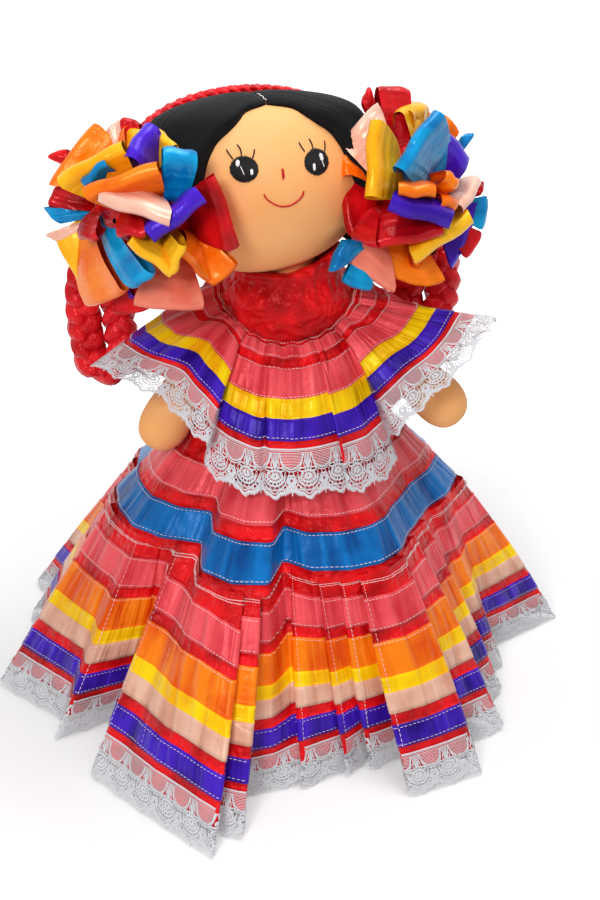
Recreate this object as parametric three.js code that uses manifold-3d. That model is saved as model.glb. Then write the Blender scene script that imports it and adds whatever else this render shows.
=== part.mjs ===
// A traditional stuffed rag doll in a two-tier ribbon dress, standing on the hem of its skirt.
// Millimetres, +Z up, the doll faces -Y, and its own left hand is on +X. The origin is on the
// floor, under the middle of the skirt.
import * as THREE from "three";
import { mergeVertices } from "three/addons/utils/BufferGeometryUtils.js";
import Module from "manifold-3d";

const wasm = await Module();
wasm.setup();

// Clearances and cloth
const seatGap = 0.3;          // between a piece and what carries it
const cutOverrun = 5;         // how far a cutting tool runs past what it cuts
const clothWall = 1.6;        // dress satin with its gathers and lining
const laceWall = 1.4;
const hemCut = 0.5;           // the hem is cut flat this deep where it stands

// Torso: a sewn bag of skin-coloured cloth, flattened front to back
const torsoBottom = 206;
const torsoTop = 295;
const hipRadius = 45;
const chestRadius = 40;
const torsoDepthShare = 0.78;
const torsoSides = 24;

// Legs, sewn on under the torso
const hipSpacing = 44;
const hipHeight = 196;
const thighRadius = 16;
const ankleRadius = 13;
const footLength = 46;
const footRadius = 15;
const soleHeight = 4;         // the feet hang just clear of the floor
const legSwing = 35;          // degrees of travel forward

// Arms, sewn on at the shoulders; the left one is held a little higher
const shoulderSpacing = 76;
const shoulderHeight = 288;
const shoulderRadius = 13;
const wristRadius = 15;
const armLength = 94;         // shoulder seam to the middle of the hand
const handRadius = 18;
const handLength = 24;        // middle of the hand to its tip
const rightArmForward = 30;   // degrees towards the front
const leftArmForward = 20;    // degrees
const rightArmDroop = 54;     // degrees below level
const leftArmDroop = 40;      // degrees
const rightArmRaise = 38;     // degrees of travel from rest
const leftArmRaise = 24;      // degrees

// Neck
const neckPivot = 301;
const neckRadius = 20;
const neckTop = 338;
const neckSides = 16;

// Head: a stuffed ball, wider than it is tall
const headHeight = 381;
const headAside = -19;        // the head sits towards the doll's right
const headHalfWidth = 77;
const headHalfDepth = 62;
const headHalfHeight = 64;
const headTilt = -0.5;        // degrees
const headTurn = 17;          // degrees
const headBack = 12;          // degrees

// Embroidered face
const eyeSpacing = 48.4;
const eyeRise = 12.1;
const eyeRadius = 8.8;
const stitchHeight = 0.9;
const noseRise = 7.1;
const noseLength = 7.8;
const mouthWidth = 27;
const mouthRise = -5;
const mouthDrop = 9;
const stitchWidth = 1.6;

// Yarn hair, parted in the middle
const hairThickness = 8.5;
const earHairThickness = 11;
const napeDrop = 44;
const hairlinePeak = 50;
const hairlineHalfWidth = 50;
const hairlineEnd = -22;      // where the hairline passes the ear
const partGap = 0.8;

// Plaits of red satin ribbon
const plaitWidth = 27;
const plaitDepth = 17;
const crownPlaitWidth = 14;
const crownPlaitDepth = 9;
const crownPlaitBack = 13;    // behind the crest of the head
const crownPlaitReach = 66;   // degrees down each side from the crown
const crownPlaitSpans = 8;
const plaitTieAside = 54;     // from the middle of the head
const plaitTieHeight = 342;
const plaitBack = 45;
const plaitLoopAside = 118;   // from the middle of the head to the middle of the loop
const plaitLoopWidth = 27;    // between the middles of the loop's two runs
const rightPlaitBottom = 203;
const leftPlaitBottom = 236;
const plaitSwing = 40;        // degrees of travel backward

// Ribbon pompons
const leftPomponAside = 98;
const rightPomponAside = 87;
const pomponForward = 32;
const pomponDrop = 13;
const pomponFacing = 55;      // degrees outwards from the front
const pomponRadius = 70;
const pomponHeight = 50;      // from its back to the top of its dome
const pomponCore = 20;
const ribbonWidth = 38;
const ribbonPinch = 14;       // width of a loop where it is tied
const loopThickness = 15;

// Bodice
const collarTop = 311;
const collarBottom = 277;
const collarRadius = 34;
const collarDepthShare = 0.9;

// Flounce round the neckline, lying over the arms
const neckSeamDrop = 12;      // below the top of the torso, at the front
const neckSeamSide = 306;
const flounceFrontReach = 98;
const flounceBackReach = 88;
const flounceSideReach = 146;
const flounceFrontHem = 194;
const flounceSideHem = 250;
const flounceSideAngle = 78;  // degrees from the front to the middle of a side lobe
const flounceSideSpread = 29;
const flounceFoldDepth = 8;
const flounceFolds = 9;
const flounceLaceWidth = 29;
const flounceDroop = 1.45;    // above 1 it leaves the neck nearly level and turns down

// Skirt
const waistHeight = 238;
const waistRadius = 49;
const waistDepthShare = 0.84;
const waistbandWall = 3;
const waistbandHeight = 8;
const bodiceBottom = waistHeight + waistbandHeight;
const tierSeamRadius = 130;
const tierSeamHeight = 135;
const hemReach = 220;         // usual reach of a pleat at the hem
const hemLaceWidth = 31;
const tuckTurn = 1.5;         // degrees from a pleat's fold to the back of its tuck
const panelTurn = 12;         // degrees between the lines that a wide panel is ruled on

// Pressed folds of the seam between the tiers: degrees round the doll from its front, and each
// fold's reach as a share of the seam's usual one.
const seamFolds = [
  { angle: -90, reachShare: 1.031 },
  { angle: -75, reachShare: 1.031 },
  { angle: -62, reachShare: 1.008 },
  { angle: -50, reachShare: 0.938 },
  { angle: -37, reachShare: 0.823 },
  { angle: -26, reachShare: 1.062 },
  { angle: -15, reachShare: 1.131 },
  { angle: -5, reachShare: 1.108 },
  { angle: -1, reachShare: 0.862 },
  { angle: 8, reachShare: 0.969 },
  { angle: 20, reachShare: 1.008 },
  { angle: 31, reachShare: 1.023 },
  { angle: 40, reachShare: 0.977 },
  { angle: 50, reachShare: 0.892 },
  { angle: 60, reachShare: 0.862 },
  { angle: 72, reachShare: 0.854 },
  { angle: 84, reachShare: 0.954 },
  { angle: 98, reachShare: 1.046 },
  { angle: 112, reachShare: 0.969 },
  { angle: 126, reachShare: 1.062 },
  { angle: 141, reachShare: 0.969 },
  { angle: 156, reachShare: 1.054 },
  { angle: 170, reachShare: 0.962 },
  { angle: 184, reachShare: 1.062 },
  { angle: 199, reachShare: 0.969 },
  { angle: 213, reachShare: 1.054 },
  { angle: 228, reachShare: 0.969 },
  { angle: 242, reachShare: 1.054 },
  { angle: 257, reachShare: 0.954 },
  { angle: 270, reachShare: 1.031 },
];

// Knife pleats of the lower tier, in order round the doll: degrees from its front to the fold,
// the fold's reach at the hem and how deep it is tucked in, as shares of the usual reach, and the
// side of the fold that tucks in.
const pleats = [
  { angle: -100, reachShare: 0.973, tuckShare: 0.109, side: -1 },
  { angle: -74, reachShare: 1.036, tuckShare: 0.118, side: -1 },
  { angle: -53, reachShare: 0.955, tuckShare: 0.082, side: -1 },
  { angle: -47, reachShare: 0.709, tuckShare: 0.027, side: 1 },
  { angle: -40, reachShare: 0.977, tuckShare: 0.264, side: -1 },
  { angle: -11, reachShare: 1.145, tuckShare: 0.127, side: 1 },
  { angle: -7, reachShare: 1.055, tuckShare: 0.159, side: 1 },
  { angle: 3, reachShare: 0.823, tuckShare: 0.045, side: -1 },
  { angle: 14, reachShare: 0.791, tuckShare: 0.055, side: -1 },
  { angle: 20, reachShare: 0.777, tuckShare: 0.059, side: -1 },
  { angle: 25, reachShare: 0.932, tuckShare: 0.173, side: -1 },
  { angle: 40, reachShare: 0.968, tuckShare: 0.150, side: 1 },
  { angle: 55, reachShare: 0.891, tuckShare: 0.118, side: 1 },
  { angle: 67, reachShare: 0.809, tuckShare: 0.100, side: 1 },
  { angle: 80, reachShare: 0.773, tuckShare: 0.055, side: 1 },
  { angle: 98, reachShare: 1.000, tuckShare: 0.136, side: 1 },
  { angle: 114, reachShare: 1.027, tuckShare: 0.145, side: 1 },
  { angle: 131, reachShare: 0.955, tuckShare: 0.091, side: -1 },
  { angle: 146, reachShare: 1.082, tuckShare: 0.164, side: 1 },
  { angle: 163, reachShare: 1.009, tuckShare: 0.145, side: 1 },
  { angle: 178, reachShare: 1.118, tuckShare: 0.173, side: 1 },
  { angle: 192, reachShare: 1.109, tuckShare: 0.182, side: 1 },
  { angle: 206, reachShare: 0.982, tuckShare: 0.127, side: -1 },
  { angle: 221, reachShare: 1.045, tuckShare: 0.155, side: -1 },
  { angle: 237, reachShare: 0.964, tuckShare: 0.118, side: -1 },
  { angle: 249, reachShare: 1.045, tuckShare: 0.145, side: -1 },
];

const degree = Math.PI / 180;
const turn = 2 * Math.PI;
const sides = [["left", 1], ["right", -1]];
const up = new THREE.Vector3(0, 0, 1);

function mix(a, b, share) {
  return a + (b - a) * share;
}

// A closed mesh as a solid, and back again.
function solid(geometry) {
  const bare = geometry.clone();
  for (const name of ["normal", "uv"]) bare.deleteAttribute(name);
  const merged = mergeVertices(bare, 1e-4);
  return new wasm.Manifold(
    new wasm.Mesh({
      numProp: 3,
      vertProperties: merged.attributes.position.array,
      triVerts: new Uint32Array(merged.index.array),
    }),
  );
}

function geometryOf(shape) {
  const mesh = shape.getMesh();
  const geometry = new THREE.BufferGeometry();
  geometry.setAttribute("position", new THREE.BufferAttribute(mesh.vertProperties, 3));
  geometry.setIndex(new THREE.BufferAttribute(mesh.triVerts, 1));
  return geometry;
}

// A stuffed form's smooth outline, from pairs of radius and height, lowest first.
function smoothOutline(profile) {
  const curve = new THREE.SplineCurve(profile.map(([r, z]) => new THREE.Vector2(r, z)));
  const points = curve.getPoints((profile.length - 1) * 2);
  for (const p of points) p.x = Math.max(p.x, 0);
  points[0].x = 0;
  points.at(-1).x = 0;
  return points;
}

function stuffed(profile, around) {
  return new THREE.LatheGeometry(smoothOutline(profile), around).rotateX(Math.PI / 2);
}

function radiusAt(outline, height) {
  const above = outline.findIndex((p) => p.y >= height);
  const [low, high] = [outline[above - 1], outline[above]];
  return mix(low.x, high.x, (height - low.y) / (high.y - low.y));
}

function ellipsoid(halfWidth, halfDepth, halfHeight, across = 28, down = 18) {
  return new THREE.SphereGeometry(1, across, down)
    .rotateX(Math.PI / 2)
    .scale(halfWidth, halfDepth, halfHeight);
}

// A post along Z between two heights, oval where it has a depth of its own.
function post(radius, low, high, depthShare = 1) {
  return new THREE.CylinderGeometry(radius, radius, high - low, 24)
    .rotateX(Math.PI / 2)
    .scale(1, depthShare, 1)
    .translate(0, 0, (low + high) / 2);
}

// The round end that a limb turns on, and the socket that holds it at every angle.
function ballEnd(radius, extra = 0) {
  const r = radius + extra;
  return [30, 60, 90].map((a) => [r * Math.sin(a * degree), r * Math.cos(a * degree)]);
}

function socketFor(radius, centre) {
  const across = 16;
  const r = (radius + seatGap) / Math.cos(Math.PI / across) ** 2;
  return solid(ellipsoid(r, r, r, across, 12).translate(centre.x, centre.y, centre.z));
}

// A turn about an axis through a point.
function turnAbout(point, axis, angle) {
  return new THREE.Matrix4()
    .makeTranslation(point.x, point.y, point.z)
    .multiply(new THREE.Matrix4().makeRotationAxis(axis, angle))
    .multiply(new THREE.Matrix4().makeTranslation(-point.x, -point.y, -point.z));
}

// The room that a shape sweeps while it turns from rest to its far limit.
function sweptRoom(geometry, point, axis, angle, steps = 2) {
  let room = solid(geometry);
  for (let i = 1; i <= steps; i++) {
    const there = geometry.clone().applyMatrix4(turnAbout(point, axis, (angle * i) / steps));
    room = room.add(solid(there));
  }
  return room;
}

// A point at an angle from the doll's front, turning towards +X.
function roundTheDoll(angle, radius, height, depthShare = 1) {
  return new THREE.Vector3(
    radius * Math.sin(angle), -radius * Math.cos(angle) * depthShare, height,
  );
}

// Cloth that closes on itself round the doll. surface(column, share down) is its outer face,
// and the inner face lies a wall inside it, square to it.
function clothRing(columns, rows, wall, surface) {
  const grid = rows.map((row) => {
    const ring = [];
    for (let c = 0; c < columns; c++) ring.push(surface(c, row));
    return ring;
  });
  const position = [];
  const index = [];
  for (const depth of [0, -wall]) {
    grid.forEach((ring, r) => {
      const above = grid[Math.max(r - 1, 0)];
      const below = grid[Math.min(r + 1, rows.length - 1)];
      ring.forEach((point, c) => {
        const ahead = ring[(c + 1) % columns].clone().sub(point).normalize();
        const behind = point.clone().sub(ring[(c + columns - 1) % columns]).normalize();
        const along = ahead.add(behind);
        const rise = above[c].clone().sub(below[c]);
        const p = point.clone().addScaledVector(along.cross(rise).normalize(), depth);
        position.push(p.x, p.y, p.z);
      });
    });
  }
  const inner = rows.length * columns;
  const last = inner - columns;
  const quad = (a, b, c, d) => index.push(a, b, c, a, c, d);
  for (let c = 0; c < columns; c++) {
    const next = (c + 1) % columns;
    for (let r = 0; r + 1 < rows.length; r++) {
      const a = r * columns + c;
      const b = r * columns + next;
      quad(a, a + columns, b + columns, b);
      quad(inner + a, inner + b, inner + b + columns, inner + a + columns);
    }
    quad(inner + c, c, next, inner + next);
    quad(last + c, inner + last + c, inner + last + next, last + next);
  }
  const geometry = new THREE.BufferGeometry();
  geometry.setAttribute("position", new THREE.Float32BufferAttribute(position, 3));
  geometry.setIndex(index);
  return geometry;
}

// Materials
const skin = { color: "#f2b06e", roughness: 0.75 };
const redSatin = { color: "#d3141f", roughness: 0.35 };
const orangeSatin = { color: "#ee7a1c", roughness: 0.35 };
const lace = { color: "#f4f2f2", roughness: 0.9 };
const yarn = { color: "#15151a", roughness: 0.7 };
const blackThread = { color: "#0c0c0e", roughness: 0.4 };
const redThread = { color: "#c01820", roughness: 0.5 };

const doll = new THREE.Group();
function add(name, geometry, finish) {
  const mesh = new THREE.Mesh(geometry, new THREE.MeshStandardMaterial(finish));
  mesh.name = name;
  doll.add(mesh);
}

// Torso
function torsoProfile(extra) {
  return [
    [0, torsoBottom - extra],
    [hipRadius * 0.8 + extra, torsoBottom + hipRadius * 0.04 - extra],
    [hipRadius + extra, mix(torsoBottom, torsoTop, 0.2)],
    [mix(hipRadius, chestRadius, 0.5) + extra, mix(torsoBottom, torsoTop, 0.5)],
    [chestRadius + extra, mix(torsoBottom, torsoTop, 0.75)],
    [chestRadius * 0.84 + extra, mix(torsoBottom, torsoTop, 0.94)],
    [chestRadius * 0.55 + extra, torsoTop + extra],
    [0, torsoTop + chestRadius * 0.01 + extra],
  ];
}

function torsoShape(extra) {
  const outset = extra / torsoDepthShare;
  return solid(stuffed(torsoProfile(outset), torsoSides).scale(1, torsoDepthShare, 1));
}

// Arms: a ball in the torso's side at the shoulder, and a rounded mitt for a hand.
const armForwards = { left: leftArmForward, right: rightArmForward };
const armDroops = { left: leftArmDroop, right: rightArmDroop };
const armRaises = { left: leftArmRaise, right: rightArmRaise };

function shoulder(side) {
  return new THREE.Vector3((side * shoulderSpacing) / 2, 0, shoulderHeight);
}

function armFrame(name, side) {
  const droop = armDroops[name] * degree;
  const forward = armForwards[name] * degree;
  const along = new THREE.Vector3(
    side * Math.cos(droop) * Math.cos(forward),
    -Math.cos(droop) * Math.sin(forward),
    -Math.sin(droop),
  );
  const pointing = new THREE.Quaternion().setFromUnitVectors(up, along);
  return new THREE.Matrix4().compose(shoulder(side), pointing, new THREE.Vector3(1, 1, 1));
}

function armShape(name, side) {
  const form = stuffed(
    [
      [0, -shoulderRadius],
      ...ballEnd(shoulderRadius).map(([r, z]) => [r, -z]),
      [mix(shoulderRadius, wristRadius, 0.6), armLength * 0.4],
      [wristRadius, armLength * 0.75],
      [handRadius, armLength],
      [handRadius * 0.72, armLength + handLength * 0.75],
      [0, armLength + handLength],
    ],
    12,
  );
  return form.applyMatrix4(armFrame(name, side));
}

// What stays clear: the shoulder, and the upper arm wherever it can be raised to.
function armRoom(name, side) {
  const clear = 3 * seatGap;
  const upperArm = new THREE.CylinderGeometry(
    wristRadius + clear, shoulderRadius + clear, armLength * 0.7, 14,
  )
    .rotateX(Math.PI / 2)
    .translate(0, 0, armLength * 0.35)
    .applyMatrix4(armFrame(name, side));
  const axis = new THREE.Vector3(0, -side, 0);
  return sweptRoom(upperArm, shoulder(side), axis, armRaises[name] * degree)
    .add(socketFor(shoulderRadius, shoulder(side)));
}

// Legs: stuffed tubes with a forward foot, cut off flat at the sole.
function hip(side) {
  return new THREE.Vector3((side * hipSpacing) / 2, 0, hipHeight);
}

function legShape(side) {
  const length = hipHeight - soleHeight;
  const shank = stuffed(
    [
      [0, -length],
      [ankleRadius * 0.8, -length + footRadius * 0.3],
      [ankleRadius, -length * 0.85],
      [thighRadius * 0.97, -length * 0.4],
      [thighRadius, -thighRadius],
      ...ballEnd(thighRadius).reverse(),
      [0, thighRadius],
    ],
    12,
  ).translate(...hip(side));
  const foot = ellipsoid(footRadius, footLength / 2, footRadius, 12, 8)
    .translate((side * hipSpacing) / 2, ankleRadius - footLength / 2, soleHeight + footRadius * 0.8);
  const below = post(footLength * 2, soleHeight - 2 * footRadius, soleHeight);
  return solid(shank).add(solid(foot)).subtract(solid(below));
}

// Neck: its foot is a ball in the torso, and its top seats in the head.
function neckShape(extra) {
  const profile = [
    [0, -neckRadius - extra],
    ...ballEnd(neckRadius, extra).map(([r, z]) => [r, -z]),
    [neckRadius + extra, (neckTop - neckPivot) * 0.8],
    [neckRadius * 0.8 + extra, neckTop - neckPivot - neckRadius * 0.08 + extra],
    [0, neckTop - neckPivot + extra],
  ];
  return solid(stuffed(profile, neckSides).translate(0, 0, neckPivot));
}

let torso = torsoShape(0).subtract(socketFor(neckRadius, new THREE.Vector3(0, 0, neckPivot)));
for (const [name, side] of sides) {
  torso = torso
    .subtract(armRoom(name, side))
    .subtract(socketFor(thighRadius, hip(side)));
  add(`${name}_arm`, armShape(name, side), skin);
  add(`${name}_leg`, geometryOf(legShape(side)), skin);
}
add("torso", geometryOf(torso), skin);
add("neck", geometryOf(neckShape(0)), skin);

// Head frame: upright in itself, then tipped back, turned and lolled to one side.
const headFrame = new THREE.Matrix4()
  .makeTranslation(headAside, 0, headHeight)
  .multiply(new THREE.Matrix4().makeRotationY(headTilt * degree))
  .multiply(new THREE.Matrix4().makeRotationZ(headTurn * degree))
  .multiply(new THREE.Matrix4().makeRotationX(-headBack * degree));

function headShape(extra) {
  return ellipsoid(headHalfWidth + extra, headHalfDepth + extra, headHalfHeight + extra);
}

const neckRoom = (neckRadius + seatGap) / Math.cos(Math.PI / neckSides) - neckRadius;
const head = solid(headShape(0).applyMatrix4(headFrame)).subtract(neckShape(neckRoom));
add("head", geometryOf(head), skin);

// Hair: a cap of yarn in two halves, open at the face and cut off at the nape.
const hairHalfWidth = headHalfWidth + earHairThickness;
const hairHalfDepth = headHalfDepth + hairThickness;
const hairHalfHeight = headHalfHeight + hairThickness;

function hairShape(extra) {
  return ellipsoid(hairHalfWidth + extra, hairHalfDepth + extra, hairHalfHeight + extra);
}

const hairWayOut = hairHalfWidth + cutOverrun;
const face = new THREE.Shape();
face.moveTo(0, hairlinePeak);
face.bezierCurveTo(
  hairlineHalfWidth * 0.45, hairlinePeak * 0.93,
  hairlineHalfWidth * 0.85, hairlinePeak * 0.5,
  hairlineHalfWidth, 0,
);
face.lineTo(hairWayOut, hairlineEnd);
face.lineTo(hairWayOut, -hairWayOut);
face.lineTo(-hairWayOut, -hairWayOut);
face.lineTo(-hairWayOut, hairlineEnd);
face.lineTo(-hairlineHalfWidth, 0);
face.bezierCurveTo(
  -hairlineHalfWidth * 0.85, hairlinePeak * 0.5,
  -hairlineHalfWidth * 0.45, hairlinePeak * 0.93,
  0, hairlinePeak,
);

// An outline pushed forward through the front of the head.
function throughTheFace(outline, steps) {
  return solid(
    new THREE.ExtrudeGeometry(outline, {
      depth: hairWayOut, bevelEnabled: false, curveSegments: steps,
    }).rotateX(Math.PI / 2),
  );
}

const belowNape = new THREE.BoxGeometry(2 * hairWayOut, 2 * hairWayOut, hairWayOut)
  .translate(0, 0, -napeDrop - hairWayOut / 2);
const hairCap = solid(hairShape(0))
  .subtract(solid(headShape(seatGap)))
  .subtract(throughTheFace(face, 6))
  .subtract(solid(belowNape));
for (const [name, side] of sides) {
  const half = new THREE.BoxGeometry(2 * hairWayOut, 2 * hairWayOut, 2 * hairWayOut)
    .translate(side * (hairWayOut + partGap / 2), 0, 0);
  const hank = geometryOf(hairCap.intersect(solid(half))).applyMatrix4(headFrame);
  add(`${name}_hair`, hank, yarn);
}

// Embroidery: stitches raised from the face, in their outline.
function embroidery(outline) {
  const layer = solid(headShape(stitchHeight)).subtract(solid(headShape(seatGap)));
  return geometryOf(layer.intersect(throughTheFace(outline, 6))).applyMatrix4(headFrame);
}

for (const [name, side] of sides) {
  const eye = new THREE.Shape();
  eye.absellipse((side * eyeSpacing) / 2, eyeRise, eyeRadius, eyeRadius * 0.94, 0, turn);
  add(`${name}_eye`, embroidery(eye), blackThread);
}
const nose = new THREE.Shape();
nose.absellipse(0, noseRise, stitchWidth / 2, noseLength / 2, 0, turn);
add("nose_stitch", embroidery(nose), redThread);
const smile = new THREE.Shape();
smile.moveTo(-mouthWidth / 2, mouthRise);
smile.quadraticCurveTo(0, mouthRise - 2 * mouthDrop, mouthWidth / 2, mouthRise);
smile.lineTo(mouthWidth / 2 - stitchWidth, mouthRise + stitchWidth / 2);
smile.quadraticCurveTo(
  0, mouthRise - 2 * mouthDrop + 2 * stitchWidth,
  -mouthWidth / 2 + stitchWidth, mouthRise + stitchWidth / 2,
);
add("mouth_stitch", embroidery(smile), redThread);

// Plaits: flat oval tubes of red satin.
function plaitTube(points, width, depth, steps) {
  const section = new THREE.Shape();
  section.absellipse(0, 0, depth / 2, width / 2, 0, turn);
  const path = new THREE.CatmullRomCurve3(points);
  return new THREE.ExtrudeGeometry(section, { extrudePath: path, steps, curveSegments: 5 });
}

// The crown plait lies over the head, just behind its crest.
function crownPlait(extra) {
  const rise = crownPlaitDepth / 2;
  const shrink = Math.sqrt(1 - (crownPlaitBack / hairHalfDepth) ** 2);
  const points = [];
  for (let i = 0; i <= crownPlaitSpans; i++) {
    const angle = mix(-crownPlaitReach, crownPlaitReach, i / crownPlaitSpans) * degree;
    points.push(new THREE.Vector3(
      (hairHalfWidth * shrink + rise) * Math.sin(angle),
      crownPlaitBack,
      (hairHalfHeight * shrink + rise) * Math.cos(angle),
    ));
  }
  const tube = plaitTube(
    points, crownPlaitDepth + 2 * extra, crownPlaitWidth + 2 * extra, 18,
  );
  return solid(tube);
}
const crown = crownPlait(0).subtract(solid(hairShape(seatGap)));
add("crown_plait", geometryOf(crown).applyMatrix4(headFrame), redSatin);

// Each side plait hangs in a loop from a tie behind its pompon.
const plaitBottoms = { left: leftPlaitBottom, right: rightPlaitBottom };

function plaitTie(side) {
  return new THREE.Vector3(headAside + side * plaitTieAside, plaitBack, plaitTieHeight);
}

function plaitLoop(name, side, extra) {
  const tie = plaitTie(side);
  const bottom = plaitBottoms[name] + plaitWidth / 2;
  const drop = tie.z - bottom;
  const middle = headAside + side * plaitLoopAside;
  const run = (reach) => plaitTube(
    [
      tie,
      new THREE.Vector3(mix(tie.x, middle, 0.6) + side * reach * 0.7, tie.y, tie.z - drop * 0.12),
      new THREE.Vector3(middle + side * reach, tie.y, tie.z - drop * 0.42),
      new THREE.Vector3(middle + side * reach, tie.y, bottom + plaitLoopWidth * 0.5),
      new THREE.Vector3(middle + side * reach * 0.45, tie.y, bottom + plaitLoopWidth * 0.08),
      new THREE.Vector3(middle - side * reach * 0.3, tie.y, bottom),
    ],
    plaitWidth + 2 * extra, plaitDepth + 2 * extra, 12,
  );
  return solid(run(plaitLoopWidth / 2)).add(solid(run(-plaitLoopWidth / 2)));
}
const plaits = {};
for (const [name, side] of sides) {
  const besideHair = sweptRoom(
    hairShape(seatGap).applyMatrix4(headFrame),
    plaitTie(side),
    new THREE.Vector3(-1, 0, 0),
    plaitSwing * degree,
  );
  plaits[name] = plaitLoop(name, side, 0).subtract(besideHair);
  add(`${name}_plait`, geometryOf(plaits[name]), redSatin);
}

// Ribbon pompons: loops of wide ribbon tied to a core, in a dome that faces out and forward.
// Each loop is a teardrop seen from its edge, and narrows to the tie.
function ribbonLoop(length) {
  const teardrop = new THREE.Shape();
  const bulge = loopThickness / 2;
  teardrop.moveTo(0, bulge * 0.3);
  teardrop.quadraticCurveTo(length * 0.4, bulge * 0.7, length * 0.72, bulge);
  teardrop.quadraticCurveTo(length, bulge * 0.9, length, 0);
  teardrop.quadraticCurveTo(length, -bulge * 0.9, length * 0.72, -bulge);
  teardrop.quadraticCurveTo(length * 0.4, -bulge * 0.7, 0, -bulge * 0.3);
  const loop = new THREE.ExtrudeGeometry(teardrop, {
    depth: ribbonWidth, bevelEnabled: false, curveSegments: 2,
  }).translate(0, 0, -ribbonWidth / 2);
  const place = loop.attributes.position;
  for (let i = 0; i < place.count; i++) {
    const out = Math.min(place.getX(i) / (length * 0.7), 1);
    place.setZ(i, place.getZ(i) * mix(ribbonPinch / ribbonWidth, 1, Math.sin((out * Math.PI) / 2)));
  }
  return loop;
}

const pomponAsides = { left: leftPomponAside, right: rightPomponAside };
const loopRings = [
  { count: 3, lean: 20 },
  { count: 7, lean: 54 },
  { count: 10, lean: 84 },
];

function pompon(name, side) {
  let ball = solid(ellipsoid(pomponCore, pomponCore, pomponCore, 10, 6));
  loopRings.forEach(({ count, lean }, ring) => {
    const reach = mix(pomponHeight, pomponRadius, Math.sin(lean * degree) ** 2);
    for (let i = 0; i < count; i++) {
      const twist = (ring + i) % 2 === 0 ? 62 : -50;
      const loop = ribbonLoop(reach)
        .applyMatrix4(new THREE.Matrix4().makeRotationX(twist * degree))
        .applyMatrix4(new THREE.Matrix4().makeRotationY((lean - 90) * degree))
        .applyMatrix4(new THREE.Matrix4().makeRotationZ(((i + ring * 0.5) / count) * turn));
      ball = ball.add(solid(loop));
    }
  });
  const facing = new THREE.Matrix4()
    .makeTranslation(side * pomponAsides[name], -pomponForward, -pomponDrop)
    .multiply(new THREE.Matrix4().makeRotationZ(side * pomponFacing * degree))
    .multiply(new THREE.Matrix4().makeRotationX(Math.PI / 2));
  return geometryOf(ball).applyMatrix4(headFrame.clone().multiply(facing));
}

const crownRoom = geometryOf(crownPlait(seatGap)).applyMatrix4(headFrame);
for (const [name, side] of sides) {
  const tied = solid(pompon(name, side))
    .subtract(solid(hairShape(seatGap).applyMatrix4(headFrame)))
    .subtract(solid(crownRoom))
    .subtract(plaitLoop(name, side, seatGap));
  add(`${name}_pompon`, geometryOf(tied), orangeSatin);
}

// Bodice: satin over the torso with a low collar, and armholes as wide as the arms move.
const torsoOutline = smoothOutline(torsoProfile(0));
const collarWay = post(
  collarRadius - clothWall, collarBottom, collarTop + cutOverrun, collarDepthShare,
);
let bodice = torsoShape(seatGap + clothWall)
  .add(solid(post(collarRadius, collarBottom, collarTop, collarDepthShare)))
  .subtract(torsoShape(seatGap))
  .subtract(solid(collarWay))
  .subtract(solid(post(2 * hipRadius, torsoBottom - cutOverrun, bodiceBottom)));
for (const [name, side] of sides) bodice = bodice.subtract(armRoom(name, side));
add("bodice", geometryOf(bodice), redSatin);

// Skirt: an upper tier with soft folds, a lower tier of knife pleats and a lace hem.
// A pleat is a fold and a tuck, the panels between them are flat at the hem, and all three
// tiers share the lines that the panels are ruled on.
const hemFolds = pleats.flatMap(({ angle, reachShare, tuckShare, side }) => {
  const fold = roundTheDoll(angle * degree, hemReach * reachShare, 0);
  const tucked = hemReach * (reachShare - tuckShare);
  const back = roundTheDoll((angle + side * tuckTurn) * degree, tucked, 0);
  return side > 0 ? [fold, back] : [back, fold];
});

function angleOf(point) {
  return Math.atan2(point.x, -point.y);
}

const skirtLines = hemFolds.flatMap((from, i) => {
  const to = hemFolds[(i + 1) % hemFolds.length];
  const gap = (angleOf(to) - angleOf(from) + turn) % turn;
  const spans = Math.max(Math.round(gap / (panelTurn * degree)), 1);
  return Array.from({ length: spans }, (_, k) => {
    const hem = from.clone().lerp(to, k / spans);
    return { angle: angleOf(hem), hem };
  });
});

// The seam between the tiers runs straight from fold to fold.
function seamRadius(angle) {
  const first = seamFolds[0].angle * degree;
  const at = first + ((((angle - first) % turn) + turn) % turn);
  const next = seamFolds.findIndex((fold) => fold.angle * degree > at);
  const [before, after] = [seamFolds[next - 1], seamFolds[next]];
  const share = (at / degree - before.angle) / (after.angle - before.angle);
  return tierSeamRadius * mix(before.reachShare, after.reachShare, share);
}

function upperTier(column, share) {
  const { angle } = skirtLines[column];
  const radius = mix(waistRadius, seamRadius(angle), share ** 1.2);
  const depthShare = mix(waistDepthShare, 1, share);
  return roundTheDoll(angle, radius, mix(waistHeight, tierSeamHeight, share), depthShare);
}

function lowerTier(column, share) {
  const { angle, hem } = skirtLines[column];
  const point = roundTheDoll(angle, seamRadius(angle), 0).lerp(hem, share);
  point.z = mix(tierSeamHeight, -hemCut, share);
  return point;
}

// A cloth ring trimmed level at its top and bottom.
function trimmed(ring, low, high) {
  return geometryOf(
    solid(ring)
      .subtract(solid(post(2 * hemReach, low - hemReach, low)))
      .subtract(solid(post(2 * hemReach, high, high + hemReach))),
  );
}

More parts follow.
